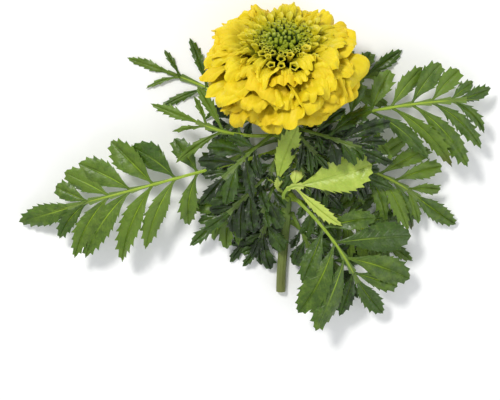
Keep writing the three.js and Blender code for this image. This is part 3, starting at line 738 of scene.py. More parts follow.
def stem_material(mottling):
    """Fresh green with fine lengthwise fibres, which are sine waves round the stem, purplish towards the cut
    end, which is pale pith. Tone 0 is the piece's own shade, tone 2 marks the pith and tone 3 the flush."""
    material, shader, bsdf = new_material(
        "marigold_stem",
        Subsurface_Weight=0.1,
        Subsurface_Scale=0.0015,
        Subsurface_Radius=(0.6, 1.0, 0.2),
    )
    across, _ = shader.blade_place()
    own, _, pith, purple = shader.tones()
    mottled = mottle(shader, mottling, scale=120.0, amount=0.9)
    shade = shader.math("ADD", mottled, shader.math("MULTIPLY", own, 0.5))
    skin = shader.mix(shader.ramp(shade, -0.3, 0.6), STEM_LIGHT, STEM_DARK)
    flushed = shader.mix(shader.math("MULTIPLY", purple, 0.5), skin, STEM_FLUSH)
    shader.link(shader.mix(pith, flushed, PITH), bsdf["Base Color"])
    shader.link(shader.ramp(shade, -0.3, 0.6, 0.36, 0.55), bsdf["Roughness"])
    fibres = shader.math("SINE", shader.math("MULTIPLY", across, 2 * math.pi * STEM_FIBRES))
    grain = shader.noise(shader.object_place(), scale=500.0)
    height = shader.math("ADD", shader.math("MULTIPLY", fibres, 0.3), grain)
    shader.link(shader.bump(height, strength=0.4, distance=0.0003), bsdf["Normal"])
    return material


# ---------------------------------------------------------------- flower head


def rumple(x, y, rng):
    """Uneven swelling from -1 to 1: random values at the whole steps of x and y, blended by smoothsteps. x
    and y lie from 0 to 18."""
    values = rng.uniform(-1, 1, (20, 20))
    i, j = np.floor(x).astype(int), np.floor(y).astype(int)
    a, b = smoothstep(x - i, 0, 1), smoothstep(y - j, 0, 1)
    low = values[i, j] * (1 - a) + values[i + 1, j] * a
    high = values[i, j + 1] * (1 - a) + values[i + 1, j + 1] * a
    return low * (1 - b) + high * b


def ray_floret(row, number, rng):
    """One ray floret, as a grid of v from foot to tip and u across.

    Up to the share where its round end begins, the half width grows as a smoothstep of v. From there on,
    with t from 0 to 1, the grid is drawn into half an ellipse: sideways u sqrt(1 - t^2 / 2) and onwards
    t sqrt(1 - u^2 / 2), so that the outline has no corner. With r the distance from the ellipse's middle,
    the margin is lobed: |sin(pi beat)|^0.55 is 1 in the middle of a lobe and 0 in the notch beside it, and
    the grid shrinks by depth (1 - lobe) r^4 and a little of uneven noise. Across, the blade follows an arc
    of quill radians to each side, so inner florets are gutters: half sin(quill u) / quill sideways and
    half (1 - cos(quill u)) / quill up.

    Off the middle surface it has the roll's slope, the gutter, a pillow on each lobe, the lobes' own wave
    and a slower one along the margin, less a margin that turns under, sides that hang and an end that
    bends back, and then coarse and fine crumples. Inner florets have less of most of these."""
    ring = ROWS[row]
    innermost = row == LAST_RAY_ROW
    florets = LAST_ROW_FLORETS if innermost else ring.florets
    width = ring.width * LAST_ROW_NARROWING if innermost else ring.width
    fine = row >= FIRST_FINE_ROW
    columns = 31 if innermost else 49 if fine else 35
    u = np.sin(1.1 * np.linspace(-1, 1, columns)[None, :]) / math.sin(1.1)
    v = np.linspace(0, 1, 23 if fine else 20)[:, None] ** 0.6
    inner = smoothstep(row, 3.0, 7.0)
    swerve, start, _, _, slow_start, _ = rng.uniform(0, 2 * np.pi, 6)
    reach = rng.uniform(*REACH) + 0.07 * inner * math.sin(number * 2 * np.pi / florets)
    pitch = math.radians(rng.normal(*LEAN.get(row, OUTER_LEAN)))
    angle = (number + (row % 2) / 2 + rng.normal(0.0, 0.32)) * 2 * np.pi / florets
    roll = math.radians(ring.roll * (1 - inner) + rng.normal(0.0, 18.0 - 8.0 * inner))
    round_end = rng.uniform(*ROUND_END)
    quill = QUILL.get(row, FLAT_QUILL) * rng.uniform(*QUILL_SPREAD) * (1 - 0.45 * v)

    t = (v - round_end) / (1 - round_end)
    before_end = np.minimum(t, 0)
    t = np.clip(t, 0, 1)
    sideways = u * np.sqrt(1 - t**2 / 2)
    onwards = t * np.sqrt(1 - u**2 / 2)
    seen = np.arctan2(sideways, onwards + before_end + 0.3)
    beat = rng.uniform(*LOBES) * seen + 0.5 * np.sin(2.3 * seen + swerve) + start
    wave = np.sin(np.pi * beat)
    lobe = np.abs(wave) ** 0.55
    outness = np.hypot(sideways, onwards)
    shrink = 1 - rng.uniform(*LOBE_DEPTH) * (1 - lobe) * outness**4
    shrink = shrink * (1 + 0.12 * outness**4 * rumple(9.5 + 2.8 * seen, 6.0, rng))
    sideways, onwards = sideways * shrink, onwards * shrink
    share = (np.minimum(v, round_end) + (1 - round_end) * onwards) * reach
    radius, height, along_r, along_h = floret_line(row, share, pitch)
    widest = width * rng.uniform(*WIDTH) * (1 - 0.2 * inner) / 2
    foot = FLORET_FOOT_WIDTH / 2
    half = foot + (widest - foot) * smoothstep(v, 0.05, round_end + 0.1)

    past_foot = smoothstep(v, 0.2, 0.6)
    outness = outness * past_foot
    coarse = rumple(3 + 2.5 * u, 1 + 4 * v, rng)
    fine_ones = rumple(7 + 6 * u, 1 + 9 * v, rng)
    slope = sideways * half * math.sin(roll) * smoothstep(share, 0.2, 0.7)
    gutter = half * (1 - np.cos(quill * sideways)) / quill
    pillows = rng.uniform(*PILLOWS) * (1 - 0.3 * inner) * outness**2 * (lobe - 0.6)
    flutter = rng.uniform(*FLUTTER) * (1 - 0.6 * inner) * outness**2 * wave
    slow_wave = rng.uniform(*SLOW_WAVE) * (1 - 0.6 * inner) * outness**2
    slow_wave = slow_wave * np.sin(rng.uniform(*SLOW_BEAT) * seen + slow_start)
    turned_under = rng.uniform(*TURNED_UNDER) * (1 - 0.5 * inner) * smoothstep(outness, 0.66, 1.0) ** 2
    hanging = rng.uniform(*HANGING_SIDES) * (1 - inner) * sideways**2
    bent_back = rng.uniform(*BENT_BACK) * onwards**2
    crumples = (COARSE_CRUMPLES * coarse + FINE_CRUMPLES * fine_ones) * (1 - 0.25 * inner) * past_foot
    lift = slope + gutter + pillows + flutter + slow_wave - turned_under - hanging - bent_back + crumples

    turn = angle + half * np.sin(quill * sideways) / quill / np.maximum(radius, 1.0)
    mid = head_point(radius - lift * along_h, turn, height + lift * along_r)
    thickness = PETAL_THICKNESS - 0.18 * outness**4
    tone = (rng.uniform(0, 1), 0, GREENNESS.get(row, 0.0), 1)
    return sheet(mid[:, ::-1], thickness[:, ::-1], u[:, ::-1], v, tone)


def foot_band(row):
    """The ring that joins the florets of a row at their feet: a round section carried round the cone."""
    sides, steps = 8, 48
    radius, height = cone_point((row + 0.5) / len(ROWS), FOOT_CLEARANCE)
    section, angle = np.meshgrid(
        np.arange(sides) * 2 * np.pi / sides, np.arange(steps) * 2 * np.pi / steps, indexing="ij"
    )
    co = head_point(
        radius + FOOT_BAND_RADIUS * np.cos(section), angle, height + FOOT_BAND_RADIUS * np.sin(section)
    )
    index = np.arange(sides * steps).reshape(sides, steps)
    up, on = np.roll(index, -1, axis=0), np.roll(index, -1, axis=1)
    faces = np.stack([index, on, np.roll(up, -1, axis=1), up], -1).reshape(-1, 4)
    return part(co.reshape(-1, 3), faces.tolist(), np.full((sides * steps, 2), 0.05), (0.5, 1, 0.6, 1))


def ray_rows(material):
    """A piece for each floret of the separate rows, and a piece for each joined row."""
    for row in range(ROLLED_ROW):
        rng = np.random.default_rng(ROW_SEED + row)
        florets = LAST_ROW_FLORETS if row == LAST_RAY_ROW else ROWS[row].florets
        blades = [ray_floret(row, number, rng) for number in range(florets)]
        if row < SEPARATE_ROWS:
            for number, blade in enumerate(blades):
                label = f"row_{row + 1}_{number + 1:02d}"
                make_piece(f"petal_{label}", [blade], f"ray_floret_{label}", material)
        else:
            node = f"ray_florets_row_{row + 1}"
            make_piece(f"petals_row_{row + 1}", [*blades, foot_band(row)], node, material)


def hollow_tube(centre, side_a, side_b, ahead, outer, inner, lobes, lip, tone):
    """A tube open at its far end. outer and inner are lists of (place along, radius): up the outside to the
    mouth and back down the throat. centre, side_a, side_b and ahead are functions of place. Over the last
    quarter, and as the square of the way through it, lobes scallops the mouth to 1 + lobes cos(5 a) times
    its radius, and lip moves the rim ahead on one side by lip (1 + cos a) / 2."""
    sides = 10
    a = np.arange(sides) * 2 * np.pi / sides
    rings, along, tones = [], [], []
    for profile, outside in ((outer, 1.0), (inner, 0.0)):
        for place, radius in profile:
            near_rim = max(0.0, (place - 0.75) / 0.25) ** 2
            size = radius * (1 + lobes * near_rim * np.cos(5 * a))
            ring = (
                centre(place)
                + size[:, None] * (np.cos(a)[:, None] * side_a(place) + np.sin(a)[:, None] * side_b(place))
                + (lip * near_rim * (1 + np.cos(a)) / 2)[:, None] * ahead(place)
            )
            rings.append(ring)
            along.append(place)
            tones.append(outside)
    made = tube(np.array(rings), np.array(along), tone)
    made["tone"][:-2, 1] = np.repeat(tones, sides)
    made["tone"][-2:, 1] = (1.0, 0.0)
    return made


def straight_tube(foot, top, side, outer, inner, lobes, lip, tone):
    """A hollow tube on the straight line from foot to top, with side a unit vector square to it."""
    way = top - foot
    ahead = unit(way)
    other_side = np.cross(ahead, side)
    return hollow_tube(
        lambda t: foot + way * t,
        lambda t: side,
        lambda t: other_side,
        lambda t: ahead,
        outer,
        inner,
        lobes,
        lip,
        tone,
    )


def floret_tube(foot, top, radius, mouth, lobes, lip, lip_way, tone):
    """One straight tubular floret between two points, widening to its mouth, with a throat a quarter deep."""
    ahead = unit(top - foot)
    side = unit(lip_way - ahead * np.dot(lip_way, ahead))
    flare = (radius + mouth) / 2
    outer = [(0.0, radius * 0.6), (0.4, radius * 0.8), (0.7, radius), (0.88, flare), (1.0, mouth)]
    inner = [(0.99, mouth * 0.72), (0.9, mouth * 0.52), (0.74, radius * 0.36), (0.73, radius * 0.05)]
    return straight_tube(foot, top, side, outer, inner, lobes, lip, tone)


def floret_bud(foot, top, radius, tone):
    """One closed disc floret: a straight tube whose five teeth meet over it."""
    side = unit(np.cross(unit(top - foot), HEAD_RIGHT))
    outer = [
        (0.0, radius * 0.6),
        (0.4, radius * 0.75),
        (0.74, radius),
        (0.87, radius),
        (0.96, radius * 0.78),
        (1.0, radius * 0.4),
    ]
    inner = [(0.99, radius * 0.25), (0.95, radius * 0.08)]
    return straight_tube(foot, top, side, outer, inner, 0.3, 0.0, tone)


def disc_florets(material):
    """Disc florets on a spiral of golden angles with the radius as the root of the number, over a near-black
    fill of painted shade in the gaps between them. Those in the middle are green closed buds, and farther out
    ever more of them are open tubes, taller, wider and yellower."""
    rng = np.random.default_rng(DISC_SEED)
    numbers = np.arange(DISC_FLORETS)
    radii = (DISC_RADIUS + DISC_SPREAD) * np.sqrt((numbers + 0.5) / DISC_FLORETS)
    parts = []
    for place, angle in zip(radii, numbers * GOLDEN_ANGLE):
        out = place / DISC_RADIUS
        lean_out, lean_round = rng.normal(0, 0.6, 2)
        top_height = DISC_TOP + 1.0 * out**2 + rng.normal(0, 1.0)
        foot = head_point(place * 0.6, angle, 33.6 + 2.2 * out)
        top = head_point(place + lean_out, angle + lean_round / (place + 3), top_height)
        outward = math.cos(angle) * HEAD_RIGHT + math.sin(angle) * HEAD_DOWN
        size = 1.0 + 0.10 * out + rng.normal(0, 0.12)
        tone = (rng.uniform(0, 1), 1, 0.3 * out**3, 1)
        if rng.uniform() < 1.7 - 1.5 * out:
            parts.append(floret_bud(foot, top, size * BUD_SIZE, tone))
        else:
            radius, mouth, lip = size * OPEN_SIZE, size * OPEN_MOUTH, 0.3 + 0.8 * out
            parts.append(floret_tube(foot, top, radius, mouth, 0.22, lip, outward, tone))
    sides = 40
    turns = np.arange(sides) * 2 * np.pi / sides
    # a near-black tube in the foot colour: painted shade that fills the gaps between the florets
    rings = head_point(DISC_SHADE_FILL[:, :1], turns[None, :], DISC_SHADE_FILL[:, 1:] * np.ones((1, sides)))
    shade_fill = tube(rings, np.full(len(DISC_SHADE_FILL), 0.2), (0.9, 1, 0, 1))
    make_piece("disc_floret_tubes", [*parts, shade_fill], "disc_florets", material)


def rolled_florets(material):
    """Florets rolled into tubes that follow the innermost ring's line and open obliquely, in two turns. On
    the head's low side they are shorter and stand steeper."""
    rng = np.random.default_rng(ROLLED_SEED)
    parts = []
    for turn, ring in enumerate(ROLLED_TURNS):
        for number in range(ring.florets):
            angle = (number + turn / 2 + rng.normal(0, 0.17)) * 2 * np.pi / ring.florets
            lowness = max(0.0, math.sin(angle))
            reach = rng.uniform(*ROLLED_REACH) - 0.06 * lowness
            pitch = math.radians(rng.normal(ring.lean + 4.0 * lowness, 3.0))
            parts.append(rolled_floret(angle, reach, pitch, ring, rng))
    parts.append(foot_band(ROLLED_ROW))
    make_piece("rolled_floret_tubes", parts, "rolled_florets", material)


def rolled_floret(angle, reach, pitch, ring, rng):
    """One rolled floret: rings round the middle line of its row, each as wide as the blade is rolled there.
    From foot to tip the line moves to its turn's place, outwards and upwards, by a smoothstep. On the head's
    low side its mouth is narrower, its lip longer and its throat paler, with less painted shade in it. Its
    wall takes the upper half of the pattern, so less of it has the painted shade of the foot."""
    out = math.cos(angle) * HEAD_RIGHT + math.sin(angle) * HEAD_DOWN
    round_it = np.cross(HEAD_AXIS, out)

    def line(t):
        r, h, dr, dh = floret_line(ROLLED_ROW, np.array(t * reach), pitch)
        shift = smoothstep(t, 0.1, 0.9)
        return float(r) + ring.outwards * shift, float(h) + ring.upwards * shift, float(dr), float(dh)

    def centre(t):
        r, h, _, _ = line(t)
        return head_point(r, angle, h)

    def ahead(t):
        _, _, dr, dh = line(t)
        return dr * out + dh * HEAD_AXIS

    def outward(t):
        _, _, dr, dh = line(t)
        return dh * out - dr * HEAD_AXIS

    lowness = 0.5 + 0.5 * math.sin(angle)
    mouth = rng.uniform(*ROLLED_MOUTH) * (1 - 0.25 * lowness)
    flare = ROLLED_NECK + 0.35 * (mouth - ROLLED_NECK)
    outer = [(0.0, 0.5), (0.3, 0.55), (0.55, 0.75), (0.72, ROLLED_NECK), (0.86, flare), (1.0, mouth)]
    inner = [(0.985, mouth * 0.68), (0.93, mouth * 0.5), (0.8, 0.45), (0.7, 0.06)]
    tone = (rng.uniform(0, 1), 1, rng.uniform(*ROLLED_YELLOW), 1)
    lip = rng.uniform(*ROLLED_LIP) + 2.0 * lowness**2
    made = hollow_tube(centre, outward, lambda t: round_it, ahead, outer, inner, 0.12, lip, tone)
    along = made["uv"][:, 1]
    outside = made["tone"][:, 1] == 1
    made["uv"][:, 1] = np.where(outside, 0.5 + 0.5 * along, 1 - (1 - 0.7 * lowness) * (1 - along))
    return made


def involucre(material):
    """The cup of fused bracts. Radius: a profile from foot to mouth, times 1 + a ridge on each bract's middle
    and a groove where two bracts meet, which are 0.022 of the signed root of cos(bracts a). The mouth's
    height rises to a tooth at each bract, and the wall inside follows the same profile."""
    sides = CUP_BRACTS * 12
    a = np.arange(sides) * 2 * np.pi / sides
    bract = np.cos(CUP_BRACTS * a)
    top = CUP_HEIGHT + CUP_TOOTH * (np.clip(bract, 0, 1) ** 1.2)
    knots = [0, 0.07, 0.2, 0.4, 0.75, 1]
    upper = [CUP_BELLY_RADIUS * 0.86, CUP_BELLY_RADIUS, CUP_BELLY_RADIUS + 0.25, CUP_MOUTH_RADIUS]
    t = np.linspace(0, 1, 24)[:, None]
    outside = np.interp(t, knots, [NECK_RADIUS * 0.98, CUP_FOOT_RADIUS + 1.4, *upper])
    ridge = 0.022 * smoothstep(t, 0.1, 0.5) * np.abs(bract) ** 0.5 * np.sign(bract)
    outer = head_point(outside * (1 + ridge), a[None, :], 0.2 + t * (top - 0.2))
    back = np.linspace(1, 0.1, 12)[:, None]
    inside = np.interp(back, knots, [0.3, CUP_FOOT_RADIUS, *upper]) - 0.75 * CUP_WALL
    inner = head_point(np.maximum(inside, 0.2), a[None, :], 1.3 + back * (top - 1.5))
    along = np.concatenate([t[:, 0], back[:, 0]])
    cup = tube(np.concatenate([outer, inner]), along, (0.3, 1, 0, 0))
    make_piece("bract_cup", [cup], "involucre", material)


# ---------------------------------------------------------------- leaves


def rested_height(z):
    """Height of a leaf that comes down softly on the surface and then runs along it: with l the height over
    the lowest place, lowest + (l + sqrt(l^2 + softness^2)) / 2 - 0.12 softness."""
    lowest = 0.75
    softness = 3.0
    return lowest + (z - lowest + np.hypot(z - lowest, softness)) / 2 - softness * 0.12


def bent_path(start, length, directions):
    """A curve from start that adds up even steps in the given directions, then rests on the surface."""
    steps = len(directions)
    points = np.concatenate([[start], start + np.cumsum(directions, axis=0) * length / steps])
    points[1:, 2] = rested_height(points[1:, 2])
    return points


def along_path(share, knots, values):
    """Vectors at shares of a path's length, straight between those given at its knots."""
    return np.stack([np.interp(share, knots, values[:, i]) for i in range(3)], -1)


def leaf_midrib(leaf):
    """The leaf's midrib: directions turn and fall evenly from foot to tip. Returns a function that gives
    point, direction, across and over at shares of its length, and the way out of the stem at its foot."""
    steps = 80
    share = (np.arange(steps) + 0.5) / steps
    level = np.radians(leaf.heading + leaf.turn * share)
    climb = np.radians(leaf.rise + leaf.fall * share)
    way = np.stack([np.cos(climb) * np.cos(level), np.cos(climb) * np.sin(level), np.sin(climb)], -1)
    point, _, right, up = stem_axis(float(leaf.at))
    side = math.radians(leaf.side)
    outward = math.cos(side) * right + math.sin(side) * up
    slant = math.sqrt(1 - float(np.dot(way[0], outward)) ** 2)
    start = point + outward * (float(stem_radius(leaf.at)) + FOOT_GAP + PETIOLE_RADIUS * slant)
    points = bent_path(start, leaf.length, way)
    knots = np.linspace(0, 1, steps + 1)
    slopes = np.gradient(points, axis=0)

    def rib(s):
        s = np.atleast_1d(s)
        place = along_path(s, knots, points)
        along = unit(along_path(s, knots, slopes))
        across = unit(np.cross(along, UP))
        return place, along, across, np.cross(across, along)

    return rib, outward


def leaflet_share(place):
    """Length of a leaflet as a share of the longest, by its place on the leaf: 0.45 + 0.58 sin(pi x), with x
    from 0.14 at the first pair to 0.9 at the last."""
    return 0.45 + 0.58 * math.sin(math.pi * (0.14 + 0.76 * place))


def leaf_leaflets(leaf):
    """A leaf's leaflets in order: pairs that point more forwards towards the tip, and one at the end."""
    last = 1 - leaf.end / leaf.length
    first = min(FIRST_LEAFLET, last)
    breadth = BREADTH.get(leaf.name, INNER_BREADTH)
    splay, curl = THREE_LEAFLETS if leaf.pairs == 1 else (0, LEAFLET_CURL)
    made = []
    for i in range(leaf.pairs):
        place = i / (leaf.pairs - 1) if leaf.pairs > 1 else 1.0
        share = first + (last - 0.02 - first) * place
        angle = LEAFLET_TURN + splay - LEAFLET_FORWARD * place
        even = leaf.leaflet * leaflet_share(place)
        width = even * leaf.width * breadth
        for side in (-1, 1):
            size = even * (1 + side * leaf.uneven)
            made.append(Leaflet(share, side, angle, size, width, LEAFLET_LIFT, LEAFLET_DROOP, curl))
    end_breadth = min(breadth, 1.0) if leaf.pairs > 1 else 1.0
    made.append(Leaflet(last, 1, 0, leaf.end, leaf.end * leaf.width * end_breadth, 0, 10, 0))
    return made


def saw(v, u, teeth, rng):
    """Saw teeth of a leaflet's margin: each rises as the square of the way over three quarters of its
    length, and drops before its end. The two sides are half a tooth apart and each tooth has its own size."""
    beat = (v - TOOTHED[0]) / (TOOTHED[1] - TOOTHED[0]) * teeth + 0.5 * (u > 0)
    whole = np.clip(np.floor(beat), 0, teeth).astype(int)
    sizes = rng.uniform(*TOOTH_SIZES, (2, teeth + 1))[(u > 0).astype(int), whole]
    part_way = beat - np.floor(beat)
    rise = np.clip(part_way / 0.75, 0, 1) ** 2 * (part_way < 0.8)
    return rise * sizes * (beat > 0) * (v < TOOTHED[1] + 0.01)


def leaflet(frame_at, spec, rng, brown, shade):
    """One leaflet, as a grid of v from base to tip and u across.

    Its midrib turns by its curl and droops, both evenly. A leaflet that points to the cut end starts nearer
    to the leaf's midrib, curls back and is longer, as it hung before the flower was laid down.

    Half width: the width times sin^q(pi v^p), with p from 1.75 in broad leaflets, widest past the middle,
    to 1.1 in slender ones, and q from 0.75 to 1.1, and never less than a stalk that narrows as (1 - v)^2.
    Saw teeth on the margin from TOOTHED[0] to TOOTHED[1] lean towards the tip. Height over the blade's
    plane: a fold up from the midrib that bends back at the sides, a wave along the margin, a channel on the
    midrib and a slight swelling along each side vein. The blade twists evenly about its midrib."""
    point, along, across, over = frame_at
    side_way = across * spec.side
    paired = spec.curl > 5
    hang = max(0.0, -side_way[1]) * paired
    angle = spec.angle + rng.normal(0, 4) - HANG_TURN * hang
    droop = spec.droop + rng.normal(4, 9)
    curl = spec.curl + (rng.normal(4, 7) if paired else rng.normal(0, 6)) - HANG_CURL * hang
    teeth = int(np.clip(round(TEETH_PER_LENGTH * spec.length), 3, 7))
    length = spec.length * (1 + HANG_STRETCH * hang + 0.06 * paired)
    pitch = (TOOTHED[1] - TOOTHED[0]) * length / teeth
    saw_rows = np.linspace(TOOTHED[0], TOOTHED[1], 4 * teeth + 1)
    v = np.concatenate([np.linspace(0, TOOTHED[0], 8)[:-1], saw_rows, [0.97, 1.0]])[:, None]
    u = np.sin(np.pi / 2 * np.linspace(-1, 1, 15 if spec.length > 20 else 11))[None, :]

    steps = np.linspace(0, 1, 41)
    middle = (steps[1:] + steps[:-1]) / 2
    head = np.radians(angle - curl * middle)[:, None]
    rise = np.radians(spec.lift - droop * middle)[:, None]
    way = np.cos(rise) * (np.cos(head) * along + np.sin(head) * side_way) + np.sin(rise) * over
    curve = bent_path(point, length, way)
    path = along_path(v[:, 0], steps, curve)
    tangent = unit(along_path(v[:, 0], steps, np.gradient(curve, axis=0)))
    head = np.radians(angle - curl * v)
    sideways = unit(-np.sin(head) * along + np.cos(head) * side_way)
    upward = unit(np.cross(sideways, tangent))
    upward = upward * np.sign((upward * over).sum(-1, keepdims=True))
    twist = np.radians((rng.normal(0, 8) + rng.normal(0, 18) * v) * (1.0 if paired else 0.5))
    sideways, upward = (
        np.cos(twist) * sideways + np.sin(twist) * upward,
        np.cos(twist) * upward - np.sin(twist) * sideways,
    )

    slender = float(np.clip(0.25 + 0.75 * hang + rng.normal(0, 0.2), 0, 1)) if paired else 0.7
    broad = not paired and spec.width > 0.4 * length
    slender = 0.1 if broad else slender
    lance = np.sin(np.pi * v ** (1.75 - 0.65 * slender)) ** (0.75 + 0.35 * slender)
    stalk = 0.9 * (1 - v) ** 2 + 0.04
    half = np.maximum(spec.width / 2 * (1.06 - 0.3 * slender) * lance, stalk)
    tooth = saw(v, u, teeth, rng) * np.clip(half / 2.2, 0.3, 1.9 if broad else 1.1)
    edge = np.abs(u) ** 14
    out = u * (half + edge * 0.28 * pitch * tooth)
    ahead = edge * 0.34 * pitch * tooth

    fold = math.tan(math.radians(rng.normal(*FOLD)))
    bend = rng.uniform(*EDGE_BEND) * out**2 / (spec.width / 2 + 1)
    wave_height, waves = rng.uniform(*EDGE_WAVE), rng.uniform(*EDGE_WAVES)
    wave = wave_height * np.sin(2 * np.pi * waves * v + rng.uniform(0, 6.28) + (u > 0))
    course = LEAF_SIDE_VEINS * v - LEAF_VEIN_SLANT / 2 * np.abs(u)
    quilt = 0.4 * np.abs(np.sin(np.pi * course)) * np.abs(u) * (1 - np.abs(u)) * 4 * lance
    channel = -0.3 * np.exp(-((u / 0.12) ** 2)) * lance
    high = np.abs(out) * fold - bend + wave * np.abs(u) ** 2 * lance + quilt + channel
    mid = path[:, None, :] + out[..., None] * sideways[:, None, :]
    mid = mid + ahead[..., None] * tangent[:, None, :]
    mid = mid + high[..., None] * upward[:, None, :]
    if spec.side < 0:
        mid = mid[:, ::-1]
    mid[..., 2] = above_floor(mid[..., 2])
    thickness = LEAFLET_THICKNESS - 0.18 * np.abs(u) ** 4 * np.ones_like(v)
    return sheet(mid, thickness, u, v, (shade, 0, 0, brown))


def leaf_tube(rib, last, outward, shade):
    """The leaf's midrib: a tube with a channel along its top. It starts in the stem, where it is swollen by
    0.45, tapers as 1 - 0.72 s and runs out by a smoothstep round the last leaflet's base."""
    s = np.concatenate([[0.0], np.linspace(0, last + 0.12, 40)])
    place, _, across, over = rib(s)
    place[0] = place[0] - outward * 1.6
    radius = PETIOLE_RADIUS * (1 - 0.72 * s) * (1 + 0.45 * np.exp(-((s / 0.035) ** 2)))
    radius = radius * (1 - 0.9 * smoothstep(s, last - 0.12, last + 0.12))
    sides = 14
    a = np.arange(sides) * 2 * np.pi / sides
    channel = 1 - 0.3 * np.exp(-(((a - np.pi / 2) / 0.42) ** 2))
    ring = radius[:, None] * channel[None, :]
    rings = (
        place[:, None, :]
        - (ring * np.cos(a))[..., None] * across[:, None, :]
        + (ring * np.sin(a))[..., None] * over[:, None, :]
    )
    rings[..., 2] = above_floor(rings[..., 2])
    return tube(rings, s, (shade, 1, 1, 0))


def leaf_wing(rib, leaf, rng, shades):
    """The narrow wing of blade along both sides of the midrib. Half width: between two pairs of leaflets it
    grows with the 1.5th power of the way to the next pair, and more so from the first pair to the last."""
    last = 1 - leaf.end / leaf.length
    first = min(FIRST_LEAFLET, last)
    s = np.linspace(first * 0.7, last + 0.06, 16 * leaf.pairs)
    place, _, across, over = rib(s)
    u = np.linspace(-1, 1, 7)[None, :]
    widening = smoothstep(s, s[0], last)[:, None]
    gap = (last - 0.02 - first) / max(leaf.pairs - 1, 1) + 1e-6
    between = (((s - first) / gap) % 1.0)[:, None]
    half = 0.3 + (0.4 + 1.6 * widening) * (0.35 + 0.65 * between**1.5)
    out = half * u
    high = 0.25 * np.abs(out) + 0.1
    mid = place[:, None] + out[..., None] * across[:, None] + high[..., None] * over[:, None]
    mid = mid[:, ::-1]
    mid[..., 2] = above_floor(mid[..., 2])
    along = np.full(mid.shape[:2], 0.3)
    return sheet(mid, 0.3, 0.7 * u, along, (rng.uniform(*shades), 0, 0, 0))


def leaves(green, pale):
    """A piece for each leaf: its midrib, wing and leaflets. A few leaflets have a browned tip."""
    for number, leaf in enumerate(LEAVES):
        rng = np.random.default_rng(LEAF_SEED + number)
        rib, outward = leaf_midrib(leaf)
        last = 1 - leaf.end / leaf.length
        # the leaves in the middle get low shades, which paint the shade that falls on them
        shades = INNER_PAINTED_SHADES if leaf.name.startswith(SHADED_INNER_LEAVES) else OUTER_SHADES
        shades = LEAF_SHADES.get(leaf.name, shades)
        parts = [leaf_tube(rib, last, outward, shades[1]), leaf_wing(rib, leaf, rng, shades)]
        for spec in leaf_leaflets(leaf):
            frame_at = [values[0] for values in rib(spec.share)]
            brown = rng.uniform(0.3, 1.0) if rng.uniform() < BROWNED_SHARE else 0.0
            parts.append(leaflet(frame_at, spec, rng, brown, rng.uniform(*shades)))
        slot, material = ("pale_leaf", pale) if leaf.name.startswith(PALE_LEAVES) else ("leaf", green)
        make_piece(f"blade_{leaf.name}", parts, f"leaf_{leaf.name}", material, sharp=50)


# ---------------------------------------------------------------- stem


def stem_piece(material):
    """The stalk. Radius: the stem's, times 1 + 0.035 cos(9 a) for its ridges and up to 0.084 for the swelling
    at a leaf's foot, which falls off as exp(-(y / 2.6)^2). The cut end is a shallow dish of pith: four rings
    that start in its middle."""
    sides = 72
    a = np.arange(sides) * 2 * np.pi / sides
    y = np.linspace(0.0, STEM_LENGTH, 130)
    nodes = sum(np.exp(-(((y - leaf.at) / 2.6) ** 2)) for leaf in LEAVES)
    swelling = 0.07 * np.minimum(nodes, 1.2)[:, None]
    radius = stem_radius(y)[:, None] * (1 + 0.035 * np.cos(9 * a)[None, :] + swelling)
    skin = around_stem(*np.meshgrid(y, a, indexing="ij"), radius)
    depth = np.array([1.1, 0.9, 0.35, 0.0])
    cut_radius = STEM_RADIUS * np.array([0.06, 0.5, 0.8, 0.93])[:, None] * np.ones((1, sides))
    cut = around_stem(*np.meshgrid(depth * 0.6, a, indexing="ij"), cut_radius)
    rings = np.concatenate([cut, skin])[:, ::-1]
    rings[..., 2] = above_floor(rings[..., 2], 0.2)
    along = np.concatenate([np.zeros(len(depth)), y / STEM_LENGTH])
    purple = np.concatenate([np.zeros(len(depth)), smoothstep(y, 60.0, 0.0)])
    stalk = tube(rings, along, (0.4, 1, 0, 0))
    stalk["tone"][: len(depth) * sides, 2] = 1.0
    stalk["tone"][-2, 2] = 1.0
    stalk["tone"][:-2, 3] = np.repeat(purple, sides)
    make_piece("stalk", [stalk], "stem", material)


# ---------------------------------------------------------------- studio

CAMERA_PAST_VERTICAL = math.radians(12)  # how far the camera leans from straight above towards the head
CAMERA_DISTANCE = 900.0
HEAD_MIDDLE = 25.0  # up the head's axis
HEAD_IN_FRAME = (18.0, 72.3)  # of the head's middle from the centre of the frame, right and up
FOCAL_LENGTH = 119.0


def add_camera():
    """Looks down on the flower from beyond the vertical, with the head at the top of the frame."""
    toward = np.array([0.0, math.sin(CAMERA_PAST_VERTICAL), math.cos(CAMERA_PAST_VERTICAL)])
    upward = np.array([0.0, math.cos(CAMERA_PAST_VERTICAL), -math.sin(CAMERA_PAST_VERTICAL)])
    middle = HEAD_BASE + HEAD_MIDDLE * HEAD_AXIS
    target = middle - HEAD_IN_FRAME[0] * HEAD_RIGHT - HEAD_IN_FRAME[1] * upward
    data = bpy.data.cameras.new("camera")
    data.lens = FOCAL_LENGTH
    data.sensor_width = 36.0
    data.clip_start, data.clip_end = 0.01, 50.0
    camera = bpy.data.objects.new("camera", data)
    camera.location = Vector((target + CAMERA_DISTANCE * toward + MODEL_SHIFT) * MM)
    camera.rotation_euler = (-CAMERA_PAST_VERTICAL, 0.0, 0.0)
    bpy.context.collection.objects.link(camera)
    bpy.context.scene.camera = camera


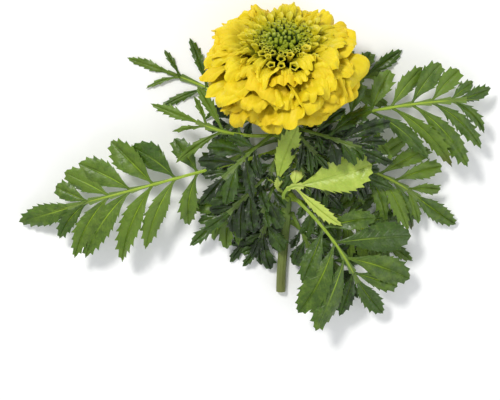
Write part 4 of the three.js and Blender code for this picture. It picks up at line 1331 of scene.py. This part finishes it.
def add_light(name, place, target, size, power, colour):
    """A square area light at a place, turned to its target, both in metres."""
    data = bpy.data.lights.new(name, "AREA")
    data.shape = "SQUARE"
    data.size = size
    data.energy = power
    data.color = colour
    light = bpy.data.objects.new(name, data)
    light.location = place
    light.rotation_euler = (Vector(target) - Vector(place)).to_track_quat("-Z", "Y").to_euler()
    bpy.context.collection.objects.link(light)


def add_studio():
    """Pale floor, pale surroundings, a soft key from beyond the head and a weak fill from the near right."""
    mesh = bpy.data.meshes.new("floor")
    reach = 6.0
    corners = [(-reach, -reach, 0), (reach, -reach, 0), (reach, reach, 0), (-reach, reach, 0)]
    mesh.from_pydata(corners, [], [(0, 1, 2, 3)])
    floor = bpy.data.objects.new("floor", mesh)
    floor.location = (0.0, 0.0, -0.0002)
    bpy.context.collection.objects.link(floor)
    material, _, _ = new_material("pale_floor", Base_Color=(0.97, 0.97, 0.965, 1.0), Roughness=0.9)
    mesh.materials.append(material)

    middle = (0.0, 0.02, 0.03)
    add_light("key", (-0.40, 0.62, 0.95), middle, size=0.2, power=9.0, colour=(1.0, 0.985, 0.96))
    add_light("fill", (0.85, -0.35, 0.9), middle, size=0.9, power=3.6, colour=(0.97, 0.985, 1.0))
    world = bpy.data.worlds.new("studio")
    world.use_nodes = True
    background = world.node_tree.nodes["Background"].inputs
    background["Color"].default_value = (0.93, 0.95, 0.97, 1.0)
    background["Strength"].default_value = 0.62
    bpy.context.scene.world = world
    bpy.context.scene.view_settings.view_transform = "Standard"


# ---------------------------------------------------------------- assembly

add_camera()
add_studio()

mottling = mottle_group()
petal = petal_material(mottling)
tubes = floret_tube_material(mottling)
leaf_green = leaf_material("marigold_leaf", mottling, LEAF_GREEN)
leaf_pale = leaf_material("marigold_leaf_pale", mottling, LEAF_PALE)
stalk_green = stem_material(mottling)

ray_rows(petal)
rolled_florets(tubes)
disc_florets(tubes)
involucre(stalk_green)
leaves(leaf_green, leaf_pale)
stem_piece(stalk_green)
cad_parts["receptacle"].data.materials.clear()
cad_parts["receptacle"].data.materials.append(tubes)
